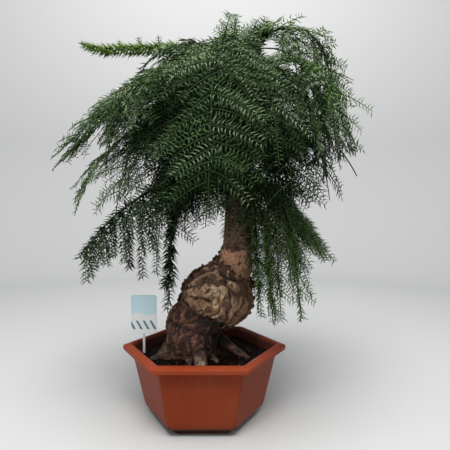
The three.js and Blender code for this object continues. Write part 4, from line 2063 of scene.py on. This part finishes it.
    def grow(self) -> list[Twig]:
        """Grows the crown.

        Returns:
            Every twig, each with the colour of its needles.
        """
        twigs = []
        for owner, limb in enumerate((*self.limbs, self.leader)):
            numbers = SeededNumbers(self.seed + owner)
            for number, (part, line, begin) in enumerate(self.stems(limb, numbers)):
                root = self.fork_root if number else self.bough_tip
                stem = line.points(0.0 if number else begin, part.length, self.stem_steps)
                across, up = direction(part.heading + 90, 0), direction(part.heading, 90)
                twigs.append(Twig(stem, (root, self.stem_tip), NONE, limb.name, across))
                needled = line.points(begin, part.length, self.needled_steps)
                sizes = tuple(limb.needle * share for share in self.stem_needles)
                for side in (across, up) if abs(limb.fall) > self.steep_fall else (across,):
                    twigs.append(Twig(needled, NONE, sizes, limb.name, side, None, limb.stout))
                for spray, along in self.branchlets(part, line, begin, numbers):
                    twigs += self.spray(spray, limb, along)
            if limb is not self.leader:
                twigs += self.inner_sprays(limb, numbers)
        kept = []
        for twig in twigs:
            if twig.radii[0] <= self.twig_root:
                twig.points = self.clear_part(twig.points)
            if len(twig.points) > 2:
                kept.append(twig)
        self.deal_tints(kept)
        return kept + self.shoot_end() + [self.bare_tail()]

    def spray(self, line: DroopingLine, limb: Limb, along: Array) -> list[Twig]:
        """A branchlet with its needles, which stand in one plane or in two.

        Args:
            line: the branchlet's line.
            limb: the limb that bears it.
            along: the direction of its stem.

        Returns:
            A twig for each plane of needles.
        """
        points = line.points(0, line.length, self.spray_steps)
        sizes = tuple(limb.needle * share for share in self.spray_needles)
        sides = (along, np.cross(along, direction(line.heading, line.rise)))
        skins = ((self.twig_root, self.twig_tip), NONE)
        rows = zip(sides[: limb.rows], skins)
        return [Twig(points, skin, sizes, limb.name, side, None, limb.stout) for side, skin in rows]

    def inner_sprays(self, limb: Limb, numbers: SeededNumbers) -> list[Twig]:
        """Short branchlets all round a bough, which close the inside of the crown.

        Args:
            limb: the limb.
            numbers: the limb's own seeded numbers.

        Returns:
            Their twigs.
        """
        line = self.line(limb)
        sprays = []
        for number in range(self.inner_count):
            start = line.point_at(limb.length * mix(*self.inner_part, number / self.inner_count))
            heading = limb.heading + GOLDEN_ANGLE * number
            length = self.inner_length * (1 + numbers.wander(self.vary))
            rise = numbers.wander(self.inner_vary) - self.inner_fall
            inner = DroopingLine(start, heading, rise, self.droop, self.hang, length)
            sprays += self.spray(inner, limb, direction(limb.heading, 0))
        return sprays

    def clear_part(self, points: Array) -> Array:
        """Cuts a spray where it would cover an opening, as seen from the viewpoint.

        Args:
            points: the spray's points.

        Returns:
            The points up to there.
        """
        eye = np.array(self.viewpoint)
        out = points - eye
        covered = np.zeros(len(points), bool)
        for *place, radius in self.openings:
            sight = unit(np.array(place) - eye)
            away = out - (out @ sight)[:, None] * sight
            covered |= np.linalg.norm(away, axis=1) < radius
        return points[: covered.argmax()] if covered.any() else points

    def deal_tints(self, twigs: list[Twig]) -> None:
        """Deals out the needle colours by the light at each spray, the darkest inside.

        Args:
            twigs: the twigs to tint.
        """
        crown_light = CrownLight(np.vstack([twig.points for twig in twigs]))
        light = crown_light.at(np.array([twig.points[-2] for twig in twigs]))
        lit = {limb.name: limb.lit for limb in (*self.limbs, self.leader)}
        chance = np.random.default_rng(self.seed).normal(0.0, self.tint_vary, len(twigs))
        order = np.argsort(light + [lit[twig.mass] for twig in twigs] + chance)
        last = np.cumsum([share for _, share in self.tint_shares])
        for place, number in enumerate(order):
            level = int(np.searchsorted(last, (place + 0.5) / len(order)))
            twigs[number].tint = self.tint_shares[min(level, len(last) - 1)][0]
            if twigs[number].mass == "left_shoot":
                twigs[number].tint = Tint.YOUNG
        low = [twig for twig in twigs if twig.mass == "right_front_low"]
        min(low, key=lambda twig: twig.points[-1][2]).tint = Tint.RUST

    def bare_tail(self) -> Twig:
        """Returns the thin tail that hangs almost bare at the right."""
        points = self.tail.points(0, self.tail.length, self.tail_steps)
        return Twig(points, self.tail_radii, self.tail_needles, "right_top", BACK, Tint.DEEP)

    def shoot_end(self) -> list[Twig]:
        """The upturned end of the lone shoot, with the buds that stand on it.

        Returns:
            Its rows of needles.
        """
        shoot = self.limbs[0]
        line = self.line(shoot)
        across = direction(shoot.heading + 90, 0)
        upturn = replace(self.upturn, start=line.point_at(shoot.length))
        end = upturn.points(0, upturn.length, self.upturn_steps)
        needled = line.points(shoot.length - shoot.needled, shoot.length, self.shoot_steps)
        rows = [Twig(end, self.upturn_radii, NONE, shoot.name, UP)]
        for turn in np.radians(np.arange(self.shoot_rows) * 180 / self.shoot_rows):
            side = math.cos(turn) * UP + math.sin(turn) * across
            for path, needles in ((needled, self.shoot_needles), (end, self.upturn_needles)):
                rows.append(Twig(path, NONE, needles, shoot.name, side, Tint.YOUNG, self.shoot_stout))
        look = (self.bud_radii, self.bud_needles, shoot.name)
        for distance, length in self.buds:
            start = line.point_at(shoot.length - distance)
            heading = shoot.heading + self.bud_turn
            bud = DroopingLine(start, heading, self.bud_rise, 0, self.bud_rise, length)
            points = bud.points(0, length, self.bud_steps)
            for side in (across, direction(shoot.heading, 0)):
                rows.append(Twig(points, *look, side, Tint.YOUNG, self.bud_stout))
        return rows

    def boughs(self) -> Object:
        """The boughs from the trunk's bark to the start of their stems.

        Returns:
            One piece with bark on it.
        """
        parts = []
        for limb in self.limbs:
            line = self.line(limb)
            radius = min(self.bough_root, self.bough_root_share * self.trunk.at_height(limb.height)[1])
            points = line.points(0, limb.length * self.bough_share, self.bough_steps)
            share = np.linspace(0, 1, len(points))
            flare = 1 + self.bough_flare * np.exp(-share * self.bough_flare_rate)
            parts.append(tube(points, mix(radius, self.bough_tip, share) * flare, self.bough_sides))
        piece = Shape.joined(parts).object("bough_bark")
        points, normals = surface(piece.data)
        rough = noise_at(points, 3.2) + 0.6 * noise_at(points, 1.6, 3.3)
        move_points(piece.data, points + normals * (self.bough_rough * rough)[:, None])
        paint(piece.data, self.trunk.column_tones.at(np.clip(0.45 + 0.5 * rough, 0, 1)))
        smooth(piece)
        return piece

    def needle_shape(self) -> Shape:
        """One needle of length one, slim and three-sided, which leans out and bends forward.

        Returns:
            A closed shape.
        """
        lean, tip_lean = math.radians(self.needle_lean), math.radians(self.needle_tip_lean)
        out = np.array((math.sin(lean), 0.0, math.cos(lean)))
        flat = np.array((-out[2], 0.0, out[0]))
        belly = []
        for corner in np.radians((30, 150, 270)):
            aside = math.cos(corner) * BACK + math.sin(corner) * flat
            belly.append(self.needle_belly * out + self.needle_half * aside)
        tip = np.array((math.sin(tip_lean), 0.0, math.cos(tip_lean)))
        sides = [(1, 2), (2, 3), (3, 1)]
        faces = [(0, first, last) for first, last in sides] + [(first, 4, last) for first, last in sides]
        return Shape(np.array([np.zeros(3), *belly, tip]), faces)

    def needles(self, name: str, twigs: list[Twig], materials: dict[Tint, Material]) -> Object:
        """Sets needles round twigs.

        Args:
            name: the piece's name.
            twigs: the twigs that bear them.
            materials: the material of each tint.

        Returns:
            The needles as one piece.
        """
        order = list(Tint)
        paths = [twig.points for twig in twigs]
        counts = [len(path) for path in paths]
        sizes = np.concatenate([np.linspace(*twig.needles, len(twig.points)) for twig in twigs])
        tints = np.repeat([order.index(twig.tint) for twig in twigs], counts).astype(np.int32)
        sides = np.repeat([twig.side for twig in twigs], counts, axis=0)
        stout = np.repeat([float(twig.stout) for twig in twigs], counts)
        piece = path_object(name, paths, needle=sizes, tint=tints, side=sides, stout=stout)
        horn = self.needle_shape().object("one_needle")
        smooth(horn)
        step = self.needle_step * MM
        tree = GeometryTree(name, Needle=horn, Step=step, Fan=self.needle_fan, Seed=self.seed)
        seed = tree.source["Seed"]
        inputs = {"Curve": tree.curves(), "Length": tree.source["Step"]}
        dots = tree.add("GeometryNodeCurveToPoints", inputs, mode="LENGTH")
        facing = tree.facing(dots["Tangent"], tree.named("side", "FLOAT_VECTOR"))
        index = tree.add("GeometryNodeInputIndex")["Index"]
        around = index * math.pi + tree.random(-1.0, 1.0, seed) * tree.source["Fan"]
        tilt = tree.random(-self.needle_tilt, self.needle_tilt, seed + 1)
        for by in (tree.turn(0.0, 0.0, around), tree.turn(0.0, tilt, 0.0)):
            inputs = {"Rotation": facing, "Rotate By": by}
            facing = tree.add("FunctionNodeRotateRotation", inputs, rotation_space="LOCAL")["Rotation"]
        size = tree.named("needle") * tree.random(*self.needle_sizes, seed + 2)
        thick = size * tree.named("stout")
        result = tree.scattered(dots["Points"], "Needle", facing, tree.vector(size, thick, thick))
        for number, tint in enumerate(order):
            if number not in tints:
                continue
            same = {"A": tree.named("tint", "INT"), "B": number}
            chosen = tree.add("FunctionNodeCompare", same, data_type="INT", operation="EQUAL")
            result = tree.painted(result, materials[tint], chosen["Result"])
        tree.run(piece, result)
        bpy.data.objects.remove(horn)
        return piece

    def twig_skins(self, twigs: list[Twig], material: Material) -> Object:
        """The stems and branchlets themselves.

        Args:
            twigs: the twigs that show.
            material: their finish.

        Returns:
            One piece.
        """
        radii = np.concatenate([np.linspace(*twig.radii, len(twig.points)) for twig in twigs])
        piece = path_object("twigs", [twig.points for twig in twigs], radius=radii * MM)
        tree = GeometryTree("twigs", Sides=self.twig_sides)
        circle = {"Resolution": tree.source["Sides"], "Radius": 1.0}
        inputs = {
            "Curve": tree.curves(),
            "Profile Curve": tree.add("GeometryNodeCurvePrimitiveCircle", circle)["Curve"],
            "Scale": tree.named("radius"),
            "Fill Caps": True,
        }
        skin = tree.add("GeometryNodeCurveToMesh", inputs)["Mesh"]
        tree.run(piece, tree.painted(skin, material))
        return piece

    def build(self) -> None:
        """Makes the crown's pieces."""
        boughs = self.boughs()
        put(boughs, [f"bough_{limb.name}" for limb in self.limbs], Bark().material("bough_bark"))
        twigs = self.grow()
        names = [limb.name for limb in (*self.limbs, self.leader)]
        skins = self.twig_skins([twig for twig in twigs if twig.radii[0] > 0], TwigSkin().material())
        put(skins, [f"foliage_{name}" for name in names])
        materials = {tint: NeedleSkin(tint).material() for tint in Tint}
        for name, masses in self.groups.items():
            leafy = [twig for twig in twigs if twig.mass in masses and twig.needles[0] > 0]
            put(self.needles(name, leafy, materials), [f"foliage_{mass}" for mass in masses])


@dataclass(frozen=True)
class NeedleSkin:
    """The waxy skin of a needle, in one plain colour."""

    tint: Tint

    def material(self) -> Material:
        """Makes the finish.

        Returns:
            The material.
        """
        name = f"needles_{self.tint.name.lower()}"
        colour, gloss = self.tint.value
        return Finish(name, Base_Color=colour, Roughness=0.45, Specular_IOR_Level=gloss).material


@dataclass(frozen=True)
class TwigSkin:
    """The green-brown skin of stems and branchlets."""

    green: Colour = (0.026, 0.054, 0.016)
    brown: Colour = (0.026, 0.038, 0.013)

    def material(self) -> Material:
        """Makes the finish.

        Returns:
            The material.
        """
        finish = Finish("twig_skin", Specular_IOR_Level=0.15)
        patch = finish.noise(finish.place(), 35.0)
        finish.feed("Base Color", finish.blend(patch.step(0.4, 0.62), self.green, self.brown))
        finish.feed("Roughness", 0.6 + 0.2 * patch)
        return finish.material


# Studio


@dataclass(frozen=True)
class Paper:
    """Matt pale studio paper."""

    colour: Colour = (0.66, 0.66, 0.65)

    def material(self) -> Material:
        """Returns the finished material."""
        return Finish("studio_paper", Base_Color=self.colour, Roughness=0.9).material


@dataclass(frozen=True)
class SoftLight:
    """A square soft light that looks at a place."""

    name: str
    at: Point
    towards: Point
    side: float
    power: float
    spread: float = 180.0
    colour: Colour = (1.0, 1.0, 1.0)

    def build(self) -> None:
        """Adds the light."""
        data = bpy.data.lights.new(self.name, "AREA")
        data.size = self.side
        data.energy = self.power
        data.spread = math.radians(self.spread)
        data.color = self.colour
        lamp = bpy.data.objects.new(self.name, data)
        lamp.visible_camera = False
        lamp.location = self.at
        aim = np.array(self.towards) - np.array(self.at)
        lamp.rotation_euler = Vector(aim).to_track_quat("-Z", "Y").to_euler()
        bpy.context.scene.collection.objects.link(lamp)


@dataclass
class Studio:
    """A round bowl of pale paper, soft lights and the photograph's viewpoint, in metres."""

    floor_radius: float = 0.8
    wall_radius: float = 1.7
    bend: float = 0.9
    bend_steps: int = 16
    wall_height: float = 2.6
    round_steps: int = 96
    camera_at: Point = (0.038, -0.7705, 0.361)
    camera_pitch: float = 1.16
    lens: float = 33.76
    world: Colour = (0.93, 0.96, 1.0)
    world_strength: float = 0.30
    lights: tuple[SoftLight, ...] = (
        SoftLight("overhead", (0.0, -0.95, 2.0), (0.03, 0.0, 0.35), 1.3, 57.0),
        SoftLight("wall_wash", (0.0, 1.0, 2.6), (0.0, 2.6, 1.8), 1.6, 31.0),
        SoftLight("trunk_fill", (-0.60, -0.80, 0.45), (0.04, 0.0, 0.27), 0.3, 0.14, 30.0),
        SoftLight("back_fill", (0.0, 1.6, 0.95), (0.03, 0.0, 0.62), 0.4, 1.3, 28.0),
    )

    def backdrop(self) -> None:
        """Adds the paper floor and the bowl round it, which throw no light back on the tree."""
        turn = np.radians(np.linspace(0, 90, self.bend_steps + 1))[1:]
        out = [self.floor_radius, self.wall_radius, *(self.wall_radius + self.bend * np.sin(turn))]
        up = [0.0, 0.0, *(self.bend * (1 - np.cos(turn)))]
        out.append(out[-1])
        up.append(self.wall_height)
        angle = np.arange(self.round_steps) / self.round_steps * 2 * math.pi
        level = np.stack([np.cos(angle), np.sin(angle), np.zeros_like(angle)], axis=-1)
        bowl = loft(np.array([level * radius + UP * height for radius, height in zip(out, up)]))
        paper = Paper().material()
        for name, faces in (("studio_floor", bowl.faces[-2:-1]), ("studio_wall", bowl.faces[:-2])):
            mesh = bpy.data.meshes.new(name)
            mesh.from_pydata(bowl.points.tolist(), [], [face[::-1] for face in faces])
            piece = linked(name, mesh)
            piece.data.materials.append(paper)
            smooth(piece)
            piece.visible_diffuse = False
            piece.visible_glossy = name == "studio_floor"

    def build(self) -> None:
        """Adds backdrop, lights, world and camera."""
        self.backdrop()
        for light in self.lights:
            light.build()
        scene = bpy.context.scene
        scene.view_settings.view_transform = "Standard"
        scene.world = bpy.data.worlds.new("studio")
        scene.world.use_nodes = True
        sky = scene.world.node_tree.nodes["Background"]
        sky.inputs["Color"].default_value = (*self.world, 1.0)
        sky.inputs["Strength"].default_value = self.world_strength
        data = bpy.data.cameras.new("viewpoint")
        data.lens = self.lens
        data.sensor_width = 36.0
        camera = bpy.data.objects.new("viewpoint", data)
        camera.location = self.camera_at
        camera.rotation_euler = (math.radians(90 - self.camera_pitch), 0.0, 0.0)
        scene.collection.objects.link(camera)
        scene.camera = camera


def main() -> None:
    """Builds the studio and the bonsai piece by piece."""
    logging.basicConfig(level=logging.INFO, format="%(name)s %(message)s")
    Studio().build()
    pot = Pot()
    pot.build()
    Soil(pot).build()
    PlantLabel().build()
    trunk = Trunk()
    trunk.build()
    Crown(trunk).build()


if __name__ == "__main__":
    main()
